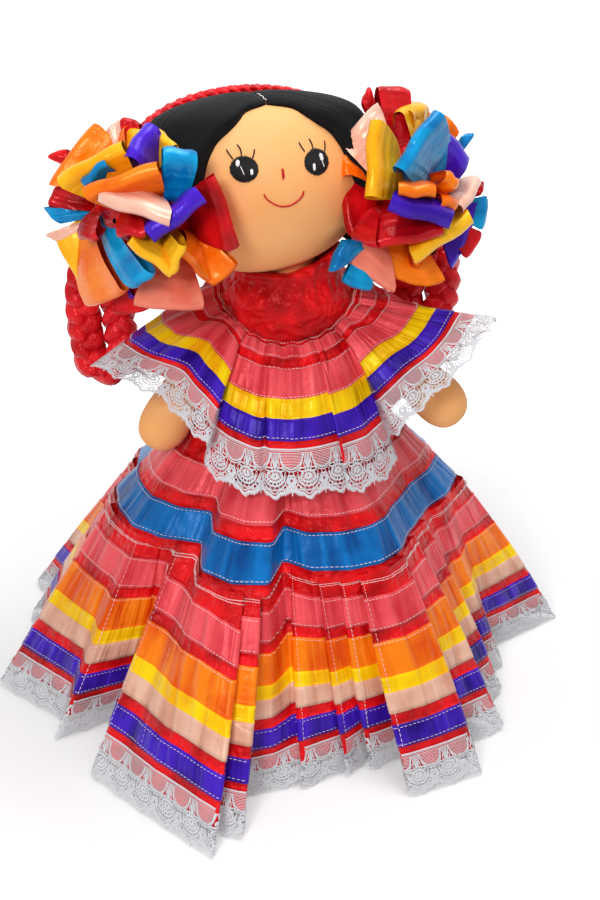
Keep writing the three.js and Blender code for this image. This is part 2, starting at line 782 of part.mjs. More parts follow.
const lowerSlant = Math.hypot(hemReach - tierSeamRadius, tierSeamHeight);
const laceShare = 1 - hemLaceWidth / lowerSlant;
const seamShare = (2 * seatGap) / lowerSlant;
const waistband = post(waistRadius, waistHeight, bodiceBottom, waistDepthShare);
const waistHole = post(
  waistRadius - waistbandWall,
  waistHeight - cutOverrun,
  bodiceBottom + cutOverrun,
  waistDepthShare,
);
add(
  "waistband",
  geometryOf(solid(waistband).subtract(solid(waistHole)).subtract(torsoShape(seatGap))),
  redSatin,
);
const trimShare = cutOverrun / lowerSlant;
const upperRing = clothRing(skirtLines.length, [0, 0.45, 1 + trimShare], clothWall, upperTier);
add("skirt_upper_tier", trimmed(upperRing, tierSeamHeight, waistHeight - seatGap), redSatin);
const lowerRows = [-trimShare, 0.4, laceShare - seamShare];
const lowerRing = clothRing(skirtLines.length, lowerRows, clothWall, lowerTier);
add("skirt_lower_tier", trimmed(lowerRing, 0, tierSeamHeight - seatGap), redSatin);
const hemRing = clothRing(skirtLines.length, [laceShare, 1], laceWall, lowerTier);
add("hem_lace", trimmed(hemRing, 0, tierSeamHeight), lace);

// Flounce: a circle of cloth from the neck seam, with a lobe over each arm and a lace edge.
const flounceColumns = 54;
const neckSeamFront = torsoTop - neckSeamDrop;
const neckSeamWidth = collarRadius + seatGap + clothWall;
const neckSeamDepth = radiusAt(torsoOutline, neckSeamFront) * torsoDepthShare
  + 2 * (seatGap + clothWall);

function sideLobe(angle) {
  const fromFront = Math.acos(Math.cos(angle)) / degree;
  return Math.exp(-(((fromFront - flounceSideAngle) / flounceSideSpread) ** 2));
}

function flounceSlant(angle) {
  const reach = mix(flounceFrontReach, flounceSideReach, sideLobe(angle));
  return Math.hypot(reach - neckSeamWidth, neckSeamFront - flounceFrontHem);
}

function flounceAt(angle, share) {
  const lobe = sideLobe(angle);
  const front = (1 + Math.cos(angle)) / 2;
  const straight = mix(flounceBackReach, flounceFrontReach, front);
  const fold = flounceFoldDepth * share * Math.cos(angle * flounceFolds);
  const reach = mix(straight, flounceSideReach, lobe) + fold;
  const seamHeight = mix(neckSeamFront, neckSeamSide, Math.sin(angle) ** 2);
  const hemHeight = mix(flounceFrontHem, flounceSideHem, lobe);
  const seam = roundTheDoll(angle, neckSeamWidth, seamHeight, neckSeamDepth / neckSeamWidth);
  const hem = roundTheDoll(angle, reach, hemHeight);
  const point = seam.clone().lerp(hem, share);
  point.z = mix(seamHeight, hemHeight, share ** flounceDroop);
  return point;
}

function flounceCloth(column, share) {
  const angle = (column / flounceColumns) * turn;
  return flounceAt(angle, share * (1 - (flounceLaceWidth + seatGap) / flounceSlant(angle)));
}

function flounceEdge(column, share) {
  const angle = (column / flounceColumns) * turn;
  return flounceAt(angle, mix(1 - flounceLaceWidth / flounceSlant(angle), 1, share));
}

add("flounce", clothRing(flounceColumns, [0, 0.4, 1], clothWall, flounceCloth), redSatin);
add("flounce_lace", clothRing(flounceColumns, [0, 1], laceWall, flounceEdge), lace);

export default doll;
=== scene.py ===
"""A stuffed rag doll in a two-tier ribbon dress, standing on the hem of its skirt."""

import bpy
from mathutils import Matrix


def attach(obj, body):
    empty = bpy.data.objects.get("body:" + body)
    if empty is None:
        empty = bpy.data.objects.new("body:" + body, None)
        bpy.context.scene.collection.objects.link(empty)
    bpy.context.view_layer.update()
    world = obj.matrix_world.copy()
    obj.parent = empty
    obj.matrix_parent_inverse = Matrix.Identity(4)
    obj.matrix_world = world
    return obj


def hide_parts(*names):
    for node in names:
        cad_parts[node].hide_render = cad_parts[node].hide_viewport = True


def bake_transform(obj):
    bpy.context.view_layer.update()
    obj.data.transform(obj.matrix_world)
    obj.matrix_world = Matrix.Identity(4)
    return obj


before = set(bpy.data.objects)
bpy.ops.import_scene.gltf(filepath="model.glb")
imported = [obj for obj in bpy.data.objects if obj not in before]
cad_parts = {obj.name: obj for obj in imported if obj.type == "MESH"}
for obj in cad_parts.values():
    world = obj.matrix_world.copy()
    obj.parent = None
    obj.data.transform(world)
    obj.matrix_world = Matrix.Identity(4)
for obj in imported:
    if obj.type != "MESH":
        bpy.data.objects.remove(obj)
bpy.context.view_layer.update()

import math
import bpy
import numpy as np
from mathutils import Vector, noise


# Studio. The doll stands on a seamless pale sweep, under a small bright soft box in front and to
# its right and a wide one overhead, so that its ribbons shine and its shadow stays near the hem.
def srgb(code):
    channels = [int(code[i : i + 2], 16) / 255 for i in (1, 3, 5)]
    return (*[c / 12.92 if c <= 0.04045 else ((c + 0.055) / 1.055) ** 2.4 for c in channels], 1)


def node(tree, kind, inputs=None, **settings):
    """Adds a shader node. An input is a value for its socket, or another node's output to link."""
    made = tree.nodes.new("ShaderNode" + kind)
    for name, value in settings.items():
        setattr(made, name, value)
    for name, value in (inputs or {}).items():
        socket = made.inputs[name]
        if isinstance(value, bpy.types.NodeSocket):
            tree.links.new(value, socket)
        else:
            socket.default_value = value
    return made


def empty_material(name):
    material = bpy.data.materials.new(name)
    material.use_nodes = True
    material.node_tree.nodes.clear()
    return material, material.node_tree


def backdrop_share(tree):
    """1 where the camera, a reflection or a view through something meets the backdrop."""
    path = node(tree, "LightPath")
    glossy = node(tree, "Math", {0: path.outputs["Is Camera Ray"],
                                 1: path.outputs["Is Glossy Ray"]},
                  operation="MAXIMUM")
    return node(tree, "Math", {0: glossy.outputs[0], 1: path.outputs["Is Transmission Ray"]},
                operation="MAXIMUM").outputs[0]


surround_level = 0.38
world = bpy.data.worlds.new("pale surround")
bpy.context.scene.world = world
world.use_nodes = True
tree = world.node_tree
tree.nodes.clear()
level = node(tree, "MapRange", {"Value": backdrop_share(tree), "To Min": surround_level,
                                "To Max": 1.0})
white = node(tree, "Background", {"Color": srgb("#ffffff"), "Strength": level.outputs[0]})
node(tree, "OutputWorld", {"Surface": white.outputs[0]})

# Matt backdrop paper, which takes the soft shadow. Its own glow lifts what the camera sees of it
# to white and lights nothing.
floor_half = 4.0
floor_material, tree = empty_material("matt white backdrop paper")
paper_grain = node(tree, "TexNoise", {"Scale": 900.0, "Detail": 2.0})
paper_bump = node(tree, "Bump", {"Height": paper_grain.outputs["Fac"], "Strength": 0.05,
                                 "Distance": 0.0003})
paper = node(tree, "BsdfDiffuse", {"Color": srgb("#dcdcdd"), "Normal": paper_bump.outputs[0]})
near_glow, far_glow, glow_start, glow_stop = 0.24, 0.9, 0.24, 0.62
place = node(tree, "TexCoord").outputs["Object"]
away = node(tree, "VectorMath", {0: place}, operation="LENGTH")
spread = node(tree, "MapRange", {"Value": away.outputs["Value"], "From Min": glow_start,
                                 "From Max": glow_stop,
                                 "To Min": near_glow, "To Max": far_glow},
              interpolation_type="SMOOTHSTEP")
glow_level = node(tree, "Math", {0: backdrop_share(tree), 1: spread.outputs[0]},
                  operation="MULTIPLY")
glow = node(tree, "Emission", {"Color": srgb("#ffffff"), "Strength": glow_level.outputs[0]})
lit_paper = node(tree, "AddShader", {0: paper.outputs[0], 1: glow.outputs[0]})
node(tree, "OutputMaterial", {"Surface": lit_paper.outputs[0]})
mesh = bpy.data.meshes.new("backdrop_floor")
mesh.from_pydata([(x * floor_half, y * floor_half, 0) for x,
                  y in ((-1, -1), (1, -1), (1, 1), (-1, 1))],
                 [], [(0, 1, 2, 3)])
floor = bpy.data.objects.new("backdrop_floor", mesh)
mesh.materials.append(floor_material)
bpy.context.scene.collection.objects.link(floor)

for name, place, aim, size, power in (
    ("front soft box", (-0.45, -1.35, 1.15), (0, 0, 0.2), 0.42, 12.0),
    ("overhead soft box", (0.25, 0.15, 1.75), (0, 0, 0.1), 0.9, 18.0),
):
    lamp = bpy.data.lights.new(name, "AREA")
    lamp.shape = "SQUARE"
    lamp.size = size
    lamp.energy = power
    stand = bpy.data.objects.new(name, lamp)
    stand.location = place
    stand.rotation_euler = (Vector(aim) - Vector(place)).to_track_quat("-Z", "Y").to_euler()
    bpy.context.scene.collection.objects.link(stand)

# The camera looks 28 degrees down from about a metre in front.
lens = bpy.data.cameras.new("photo camera")
lens.lens = 60
lens.sensor_width = 36
camera = bpy.data.objects.new("photo camera", lens)
camera.location = (0.009, -0.985, 0.695)
camera.rotation_euler = (math.radians(62), 0, 0)
bpy.context.scene.collection.objects.link(camera)
bpy.context.scene.camera = camera
bpy.context.scene.view_settings.view_transform = "Standard"


# Body. Skin-coloured polyester cloth, sewn into bags and stuffed with fibre until the weave is
# taut: an oval torso, a short neck, two arms ending in plain mitts and two hidden legs.
def as_object(name, points, faces, finishes, face_finish=None, flat=None, smooth=True):
    """A mesh from points in millimetres, with UVs in metres taken from the flat cloth."""
    mesh = bpy.data.meshes.new(name)
    mesh.from_pydata((np.asarray(points, dtype=float) / 1000).tolist(), [], faces)
    for finish in finishes:
        mesh.materials.append(finish)
    if face_finish is not None:
        mesh.polygons.foreach_set("material_index", np.asarray(face_finish, dtype=np.int32))
    mesh.polygons.foreach_set("use_smooth", np.full(len(mesh.polygons), smooth))
    if flat is not None:
        corners = np.empty(len(mesh.loops), dtype=np.int32)
        mesh.loops.foreach_get("vertex_index", corners)
        layer = mesh.uv_layers.new(name="flat")
        layer.data.foreach_set("uv", (np.asarray(flat, dtype=float)[corners] / 1000).ravel())
    mesh.validate()
    made = bpy.data.objects.new(name, mesh)
    bpy.context.scene.collection.objects.link(made)
    return made


def grid_faces(rows, columns, closed=False, start=0):
    """Faces of a grid of points, seen from outside with rows going down and columns to +X."""
    r, c = np.meshgrid(np.arange(rows - 1), np.arange(columns if closed else columns - 1),
                       indexing="ij")
    ahead = (c + 1) % columns
    quads = np.stack([r * columns + c, (r + 1) * columns + c, (r + 1) * columns + ahead,
                      r * columns + ahead], axis=-1).reshape(-1, 4) + start
    return quads.tolist()


def smooth_curve(points, samples):
    """Points evenly numbered along a Catmull-Rom curve through the given ones."""
    p = np.asarray(points, dtype=float)
    p = np.vstack([2 * p[0] - p[1], p, 2 * p[-1] - p[-2]])
    t = np.linspace(0, len(p) - 3, samples)
    i = np.minimum(t.astype(int), len(p) - 4)
    f = (t - i)[:, None]
    a, b, c, d = p[i], p[i + 1], p[i + 2], p[i + 3]
    return 0.5 * (2 * b + (c - a) * f + (2 * a - 5 * b + 4 * c - d) * f**2
                  + (3 * b - 3 * c + d - a) * f**3)


def noise_at(points, size, seed=0.0):
    """Soft noise from -1 to 1 at points in millimetres, with bumps of about the given size."""
    shift = Vector((seed * 7.3, seed * 3.1, seed * 5.7))
    flat = np.asarray(points, dtype=float).reshape(-1, 3) / size
    values = [noise.noise(Vector(p) + shift) for p in flat]
    return np.array(values).reshape(np.shape(points)[:-1])


def along_frame(forward, side):
    """Columns are the side, the depth and the length of a limb that points forward."""
    forward = np.asarray(forward, dtype=float)
    forward /= np.linalg.norm(forward)
    side = np.asarray(side, dtype=float) - forward * np.dot(side, forward)
    side /= np.linalg.norm(side)
    return np.stack([side, np.cross(forward, side), forward], axis=1)


def stuffed_bag(name, profile, place, frame_axes, finish, depth=1.0, around=48, puckers=14, seed=0):
    """A sewn bag from radii and heights, with a seam down each side and puckers at its ends."""
    ring = smooth_curve(profile, 40)
    angle = np.linspace(0, 2 * math.pi, around, endpoint=False)
    radius = np.maximum(ring[:, :1], 0.02)
    seam = np.exp(-((np.abs(np.cos(angle)) - 1) / 0.004) ** 2)
    end = np.abs(np.linspace(-1, 1, len(ring)))[:, None] ** 6
    scale = 1 - 0.02 * seam - 0.025 * end * (0.5 + 0.5 * np.cos(angle * puckers))
    points = np.stack([radius * scale * np.cos(angle), -radius * scale * np.sin(angle) * depth,
                       np.broadcast_to(ring[:, 1:], (len(ring), around))], axis=-1)
    points = points[::-1]
    outward = points * [1, 1, 0]
    outward /= np.maximum(np.linalg.norm(outward, axis=-1, keepdims=True), 0.01)
    points = points + (outward * 0.5 * noise_at(points, 19.0, seed)[..., None]
                       * (radius[::-1, :, None] > 3))
    points = points @ np.asarray(frame_axes).T + np.asarray(place, dtype=float)
    flat = np.stack(np.broadcast_arrays(np.linspace(0, 100, around)[None], ring[:, 1:]), axis=-1)
    flat = flat.reshape(-1, 2)
    return as_object(name, points.reshape(-1, 3), grid_faces(len(ring), around, closed=True),
                     [finish], flat=flat)


# Brushed polyester knit: matt, with a faint fuzz at the edges, and a weave of about 0.5 mm that is
# drawn at 1 mm so that it shows.
skin_light, skin_deep = "#ffc68a", "#ffaa5a"
skin_cloth, tree = empty_material("brushed polyester skin cloth")
place = node(tree, "TexCoord").outputs["Object"]
blotches = node(tree, "TexNoise", {"Vector": place, "Scale": 22.0, "Detail": 3.0})
tone = node(tree, "ValToRGB", {"Fac": blotches.outputs["Fac"]})
tone.color_ramp.elements[0].color = srgb(skin_deep)
tone.color_ramp.elements[1].color = srgb(skin_light)
knit = node(tree, "TexVoronoi", {"Vector": place, "Scale": 1000.0})
fuzz = node(tree, "TexNoise", {"Vector": place, "Scale": 420.0, "Detail": 4.0})
weave = node(tree, "Math", {0: knit.outputs["Distance"], 1: fuzz.outputs["Fac"]}, operation="ADD")
bump = node(tree, "Bump", {"Height": weave.outputs[0], "Strength": 0.28, "Distance": 0.0003})
skin_shader = node(tree, "BsdfPrincipled", {
    "Base Color": tone.outputs[0], "Roughness": 0.72, "IOR": 1.45, "Specular IOR Level": 0.35,
    "Sheen Weight": 0.25, "Sheen Roughness": 0.4, "Sheen Tint": srgb("#ffe2c0"),
    "Subsurface Weight": 0.06, "Subsurface Radius": (0.006, 0.003, 0.0015), "Subsurface Scale": 1.0,
    "Normal": bump.outputs[0]})
node(tree, "OutputMaterial", {"Surface": skin_shader.outputs[0]})

upright = np.eye(3)
torso_profile = [(0, 206), (36, 207.5), (45, 224), (42.5, 250), (39, 272), (33, 289), (22, 295),
                 (0, 295.4)]
torso = stuffed_bag("stuffed_torso", torso_profile, (0, 0, 0), upright, skin_cloth, depth=0.78,
                    seed=1)
neck_profile = [(0, 282), (12, 284), (19.6, 296), (19.6, 316), (17, 332), (0, 334)]
neck = stuffed_bag("stuffed_neck", neck_profile, (0, 0, 0), upright, skin_cloth, seed=2)
for piece, body in ((torso, "torso"), (neck, "neck")):
    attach(piece, body)
    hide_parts(body)

shoulder_side, shoulder_height = 38, 288
arm_profile = [(0, -13), (8, -10.5), (12.6, -3), (13.6, 14), (14.4, 40), (15, 66), (16.6, 80),
               (18, 93), (17, 104), (12.6, 113), (6, 117.4), (0, 118)]
for name, side, forward, droop in (("left_arm", 1, 20, 40), ("right_arm", -1, 30, 54)):
    ahead, down = math.radians(forward), math.radians(droop)
    along = (side * math.cos(down) * math.cos(ahead), -math.cos(down) * math.sin(ahead),
             -math.sin(down))
    arm = stuffed_bag("stuffed_" + name, arm_profile, (side * shoulder_side, 0, shoulder_height),
                      along_frame(along, (0, 1, 0)), skin_cloth, around=40, puckers=10,
                      seed=3 + side)
    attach(arm, name)
    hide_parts(name)

# Each leg is one bag with its foot turned forward, so its lowest rings lean ahead.
hip_side, hip_height, sole = 22, 196, 4
leg_profile = [(0, -192), (9, -191.4), (14.4, -186), (15, -178), (13.6, -164), (13.2, -140),
               (14.6, -90), (15.8, -50), (16, -16), (15, -5), (11, 8), (5, 14.6), (0, 15.6)]
for name, side in (("left_leg", 1), ("right_leg", -1)):
    leg = stuffed_bag("stuffed_" + name, leg_profile, (side * hip_side, 0, hip_height), upright,
                      skin_cloth, around=40, puckers=10, seed=7 + side)
    for vertex in leg.data.vertices:
        height = vertex.co.z * 1000 - sole
        toe = max(0.0, 1 - height / 30)
        ahead = vertex.co.y * 1000
        stretch = toe**0.6 * (1.25 if ahead < 0 else 0.1)
        vertex.co.y += (ahead * stretch - 3 * toe) / 1000
        vertex.co.z = max(vertex.co.z, sole / 1000)
    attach(leg, name)
    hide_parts(name)


# Head. The same cloth in a wide ball of two halves, stuffed hard, tipped back and turned a little
# to the doll's left. Everything sewn to it is placed in the head's own upright frame.
def turn_matrix(axis, degrees):
    a = math.radians(degrees)
    c, s = math.cos(a), math.sin(a)
    return np.array({"X": [[1, 0, 0], [0, c, -s], [0, s, c]],
                     "Y": [[c, 0, s], [0, 1, 0], [-s, 0, c]],
                     "Z": [[c, -s, 0], [s, c, 0], [0, 0, 1]]}[axis])


head_centre = np.array([-19.0, 0, 381.0])
head_turn = turn_matrix("Y", -0.5) @ turn_matrix("Z", 17) @ turn_matrix("X", -12)
head_halves = np.array([77.0, 62.0, 64.0])


def from_head(points):
    """Points in the head's own frame, in the doll's."""
    return np.asarray(points, dtype=float) @ head_turn.T + head_centre


# The stuffing leaves the top of the head nearly flat under the hair: heights are squeezed there.
crown_start, crown_easing, crown_squeeze = 40.0, 5.0, 0.547


def flattened(points):
    over = np.maximum(points[..., 2:] - crown_start, 0)
    eased = over - crown_easing * (1 - np.exp(-over / crown_easing))
    return np.concatenate([points[..., :2], points[..., 2:] - crown_squeeze * eased], axis=-1)


rings, around = 56, 96
tilt = np.linspace(0.02, math.pi - 0.02, rings)[:, None]
angle = np.linspace(0, 2 * math.pi, around, endpoint=False)[None]
ball = np.stack([np.sin(tilt) * np.sin(angle), -np.sin(tilt) * np.cos(angle),
                 np.broadcast_to(np.cos(tilt), (rings, around))], axis=-1)
side_seam = np.exp(-((ball[..., 1] - 0.1) / 0.03) ** 2) * 0.008
lumps = noise_at(ball * head_halves, 55.0, 11)[..., None] * 0.5
ball = ball * (head_halves * (1 - side_seam[..., None]) + lumps)
head = as_object("stuffed_head", from_head(flattened(ball)).reshape(-1, 3),
                 grid_faces(rings, around, closed=True), [skin_cloth])
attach(head, "head")
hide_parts("head")


# Face. Worked on the stuffed head with cotton embroidery floss before the hair went on: padded
# satin-stitched eyes with white highlights, three lashes to an eye, a nose stitch and a smile.
def tubes(name, paths, radius, finishes, face_finish=None, sides=6):
    """Round threads along paths in millimetres, thinned at both ends. One mesh holds them all."""
    points, faces, shown = [], [], []
    for number, path in enumerate(paths):
        path = np.asarray(path, dtype=float)
        count = len(path)
        ahead = np.gradient(path, axis=0)
        ahead /= np.linalg.norm(ahead, axis=1, keepdims=True)
        side = np.cross(ahead, (0.31, -0.17, 0.93))
        side /= np.linalg.norm(side, axis=1, keepdims=True)
        other = np.cross(ahead, side)
        turn = np.linspace(0, 2 * math.pi, sides, endpoint=False)
        taper = np.minimum(1, np.minimum(np.arange(count), np.arange(count)[::-1]) * 0.5 + 0.45)
        ring = (side[:, None] * np.cos(turn)[None, :, None]
                + other[:, None] * np.sin(turn)[None, :, None])
        thick = radius[number] if isinstance(radius, (list, tuple)) else radius
        skin = path[:, None] + ring * (thick * taper)[:, None, None]
        start = len(points)
        points.extend(skin.reshape(-1, 3).tolist())
        made = grid_faces(count, sides, closed=True, start=start)
        made += [[start + i for i in range(sides)],
                 [start + (count - 1) * sides + i for i in range(sides)][::-1]]
        faces.extend(made)
        shown.extend([face_finish[number] if face_finish else 0] * len(made))
    return as_object(name, points, faces, finishes, shown)


def on_face(x, z, lift=0.0):
    """A point on the front of the head, over x and z of the head's own frame."""
    x, z = np.asarray(x, dtype=float), np.asarray(z, dtype=float)
    half_width, half_depth, half_height = (half + lift for half in head_halves)
    y = -half_depth * np.sqrt(np.maximum(1 - (x / half_width) ** 2 - (z / half_height) ** 2, 0))
    return from_head(np.stack(np.broadcast_arrays(x, y, z), axis=-1))


# Mercerised cotton floss: round silky strands, so each stitch carries its own line of shine.
def floss(name, code, roughness):
    material, tree = empty_material(name)
    place = node(tree, "TexCoord").outputs["Object"]
    fibres = node(tree, "TexNoise", {"Vector": place, "Scale": 1500.0, "Detail": 3.0})
    bump = node(tree, "Bump", {"Height": fibres.outputs["Fac"], "Strength": 0.3,
                               "Distance": 0.0002})
    shader = node(tree, "BsdfPrincipled", {
        "Base Color": srgb(code), "Roughness": roughness, "IOR": 1.5, "Specular IOR Level": 0.25,
        "Normal": bump.outputs[0]})
    node(tree, "OutputMaterial", {"Surface": shader.outputs[0]})
    return material


black_floss = floss("black cotton floss", "#08080a", 0.38)
white_floss = floss("white cotton floss", "#f4f4f4", 0.5)
red_floss = floss("red cotton floss", "#c4121b", 0.5)

eye_x, eye_z, eye_half_width, eye_half_height = 24.2, 12.1, 8.7, 8.4
floss_radius, eye_padding = 0.42, 0.75
highlights = {
    "right_eye": [((-27.6, 18.6), (-28.2, 13.6), 1.35), ((-26.6, 14.4), (-24.7, 8.4), 0.28),
                  ((-19.9, 12.2), (-20.1, 8.0), 1.0)],
    "left_eye": [((27.3, 17.9), (28.1, 11.9), 1.25), ((27.9, 12.5), (29.0, 8.4), 0.3),
                 ((21.8, 11.8), (21.6, 6.6), 1.1)],
}
lashes = {
    "right_eye": [((-30.0, 18.6), (-31.6, 21.4), (-33.2, 24.9)),
                  ((-24.6, 20.2), (-24.7, 24.4), (-26.2, 27.6)),
                  ((-18.2, 18.2), (-16.9, 21.0), (-16.0, 23.9))],
    "left_eye": [((16.7, 19.3), (15.0, 22.2), (13.6, 25.5)),
                 ((22.8, 20.2), (22.4, 23.8), (21.2, 27.0)),
                 ((31.0, 17.8), (32.0, 21.0), (32.4, 24.6))],
}
stitch_order = np.random.default_rng(5)
for eye, side in (("left_eye", 1), ("right_eye", -1)):
    paths, radii, shown = [], [], []
    for offset in np.arange(-eye_half_width + 0.3, eye_half_width, 0.62):
        half = eye_half_height * math.sqrt(max(1 - (offset / eye_half_width) ** 2, 0.0))
        half += stitch_order.uniform(-0.28, 0.35)
        z = eye_z + np.linspace(-half, half, 15)
        dome = eye_padding * (1 - 0.75 * (offset / eye_half_width) ** 2) * np.sqrt(
            np.maximum(1 - ((z - eye_z) / (half + 0.1)) ** 2, 0))
        paths.append(on_face(side * eye_x + offset, z, 0.15 + dome))
        radii.append(floss_radius)
        shown.append(0)
    for (x0, z0), (x1, z1), half_width in highlights[eye]:
        strands = max(int(half_width / 0.3), 1)
        for k in range(strands):
            across = (k - (strands - 1) / 2) * 0.58
            shorter = 0.18 * abs(across)
            t = np.linspace(0.02 + shorter, 0.98 - shorter, 9)
            x, z = x0 + (x1 - x0) * t + across, z0 + (z1 - z0) * t
            paths.append(on_face(x, z, 1.32))
            radii.append(min(half_width, 0.36))
            shown.append(1)
    for points in lashes[eye]:
        xz = smooth_curve([(x, 0, z) for x, z in points], 12)
        paths.append(on_face(xz[:, 0], xz[:, 2], 0.3))
        radii.append(0.5)
        shown.append(0)
    stitched = tubes("stitched_" + eye, paths, radii, [black_floss, white_floss], shown)
    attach(stitched, "head")
    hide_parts(eye)

nose_line = [np.linspace(10.9, 3.3, 10), np.linspace(10.2, 4.4, 10)]
nose = tubes("stitched_nose", [on_face(np.full(10, x), z, 0.35) for x,
                               z in zip((-0.2, 0.45), nose_line)],
             0.5, [red_floss])
# The smile is a backstitch of short overlapping stitches.
smile = smooth_curve([(-13.4, 0, -4.4), (-12.2, 0, -7.2), (-9.6, 0, -9.8), (-4.6, 0, -12.9),
                      (0, 0, -13.8),
                      (4.9, 0, -13.2), (9.8, 0, -10.4), (12.4, 0, -7.6), (13.4, 0, -5.0)], 91)
stitch_steps = 7
smile_stitches = [on_face(smile[i : i + stitch_steps + 2, 0], smile[i : i + stitch_steps + 2, 2],
                          0.35)
                  for i in range(0, 90, stitch_steps)]
mouth = tubes("stitched_mouth", [path for path in smile_stitches if len(path) > 2], 0.55,
              [red_floss])
for piece, solid in ((nose, "nose_stitch"), (mouth, "mouth_stitch")):
    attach(piece, "head")
    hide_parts(solid)


# Hair. Black acrylic yarn laid side by side over the head, stitched down along a centre parting
# with white thread, and combed out to a tie behind each ear.
def unit(points):
    return points / np.linalg.norm(points, axis=-1, keepdims=True)


# Brushed acrylic yarn: near black, with a dull sheen along the strands. Part of that sheen is
# painted into the colour as lighter fibre lines.
yarn, tree = empty_material("black brushed acrylic yarn")
flat_place = node(tree, "UVMap", uv_map="flat")
split = node(tree, "SeparateXYZ", {0: flat_place.outputs[0]})
stretched = node(tree, "CombineXYZ", {0: split.outputs[0], 1: node(
    tree, "Math", {0: split.outputs[1], 1: 0.04}, operation="MULTIPLY").outputs[0]})
fibres = node(tree, "TexNoise", {"Vector": stretched.outputs[0], "Scale": 2600.0, "Detail": 3.0})
# Random fibre tone, whose lighter fibre lines are painted sheen.
fibre_tone_and_sheen = node(tree, "ValToRGB", {"Fac": fibres.outputs["Fac"]})
fibre_tone_and_sheen.color_ramp.elements[0].color = srgb("#070709")
fibre_tone_and_sheen.color_ramp.elements[0].position = 0.35
fibre_tone_and_sheen.color_ramp.elements[1].color = srgb("#191a1d")
fibre_tone_and_sheen.color_ramp.elements[1].position = 0.8
bump = node(tree, "Bump", {"Height": fibres.outputs["Fac"], "Strength": 0.5, "Distance": 0.0003})
yarn_shader = node(tree, "BsdfPrincipled", {
    "Base Color": fibre_tone_and_sheen.outputs[0], "Roughness": 0.62, "IOR": 1.45, "Specular IOR Level": 0.11,
    "Sheen Weight": 0.04, "Sheen Roughness": 0.35, "Normal": bump.outputs[0]})
node(tree, "OutputMaterial", {"Surface": yarn_shader.outputs[0]})

strand_count, steps_per_strand, strand_rows = 74, 4, 64
hair_halves = np.array([86.5, 69.5, 71.5])
hairline = [(0.4, 54.2), (14.2, 48.7), (21.6, 41.1), (29.2, 35), (37.6, 28.6), (44.6, 18),
            (48.5, 7),
            (54, -6), (66, -20)]
nape_height, part_lift, ridge_height = -44.0, 0.55, 0.42


line = smooth_curve([(x, 0, z) for x, z in hairline], 200)
line[:, 1] = -head_halves[1] * np.sqrt(np.maximum(
    1 - (line[:, 0] / head_halves[0]) ** 2 - (line[:, 2] / head_halves[2]) ** 2, 0.0))
length = np.concatenate([[0], np.cumsum(np.linalg.norm(np.diff(line, axis=0), axis=1))])
share = np.linspace(0, 1, strand_rows)
front_edge = np.stack([np.interp(share * length[-1], length, line[:, i]) for i in range(3)], axis=1)
front_edge = unit(front_edge / head_halves)
columns = strand_count * steps_per_strand + 1
across = np.linspace(0, 1, columns)
peak_angle = math.atan2(-line[0, 1] / head_halves[1], line[0, 2] / head_halves[2])
nape_angle = -math.acos(nape_height / head_halves[2])
part_angle = peak_angle + (nape_angle - peak_angle) * across
parting = np.stack([np.full(columns, 0.0005), -np.sin(part_angle), np.cos(part_angle)], axis=1)
nape_ring = math.sqrt(1 - (nape_height / head_halves[2]) ** 2)
nape_turn = math.pi - 0.01 - share * 2.0
nape_edge = np.stack([nape_ring * np.sin(nape_turn), -nape_ring * np.cos(nape_turn),
                      np.full(strand_rows, nape_height / head_halves[2])], axis=1)
ear_edge = unit(front_edge[-1] * (1 - across[:, None]) + nape_edge[-1] * across[:, None])
s, k = share[:, None, None], across[None, :, None]
patch = unit((1 - s) * parting[None] + s * ear_edge[None]
             + (1 - k) * front_edge[:, None] + k * nape_edge[:, None]
             - (1 - s) * (1 - k) * parting[0] - s * (1 - k) * front_edge[-1]
             - (1 - s) * k * parting[-1] - s * k * nape_edge[-1])
rim = np.clip(np.minimum(across / 0.05, (1 - across) / 0.03), 0, 1)
rim = np.sqrt(1 - (1 - rim) ** 2)[None]
parted = part_lift + (1 - part_lift) * np.clip(share / 0.1, 0, 1)[:, None] ** 0.5
ridges = np.abs(np.sin(math.pi * across * strand_count))[None] ** 0.7
depth_share = rim * parted
for name, side in (("left_hair", 1), ("right_hair", -1)):
    strand_noise = np.random.default_rng(21 + side).normal(0, 0.22, strand_count + 1)
    uneven = np.interp(across * strand_count, np.arange(strand_count + 1), strand_noise)[None]
    thickness = head_halves + (hair_halves - head_halves) * depth_share[..., None]
    wave = noise_at(patch * head_halves, 26.0, 31 + side)
    lift = (ridge_height * ridges + uneven + 0.5 * wave) * rim
    hair = patch * (thickness + lift[..., None]) * [side, 1, 1]
    faces = grid_faces(strand_rows, columns)
    if side > 0:
        faces = [face[::-1] for face in faces]
    flat = np.stack(np.broadcast_arrays(across[None] * 150, share[:, None] * 110), axis=-1)
    hank = as_object("combed_" + name, from_head(flattened(hair)).reshape(-1, 3), faces, [yarn],
                     flat=flat.reshape(-1, 2))
    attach(hank, "head")
    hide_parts(name)

part_angles = np.linspace(peak_angle - 0.05, peak_angle - 0.36, 6)
part_radius = head_halves + (hair_halves - head_halves) * part_lift + 1.8
part_paths = []
for i, a in enumerate(part_angles[:-1]):
    b = part_angles[i + 1]
    stitch = np.array([[0.6 * (-1) ** i, -math.sin(a) * part_radius[1],
                        math.cos(a) * part_radius[2]],
                       [0.0, -math.sin((a + b) / 2) * (part_radius[1] + 0.4),
                        math.cos((a + b) / 2) * (part_radius[2] + 0.4)],
                       [-0.6 * (-1) ** i, -math.sin(b) * part_radius[1],
                        math.cos(b) * part_radius[2]]])
    part_paths.append(from_head(flattened(smooth_curve(stitch, 6))))
part_thread = tubes("parting_stitches", part_paths, 0.32, [white_floss])
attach(part_thread, "head")


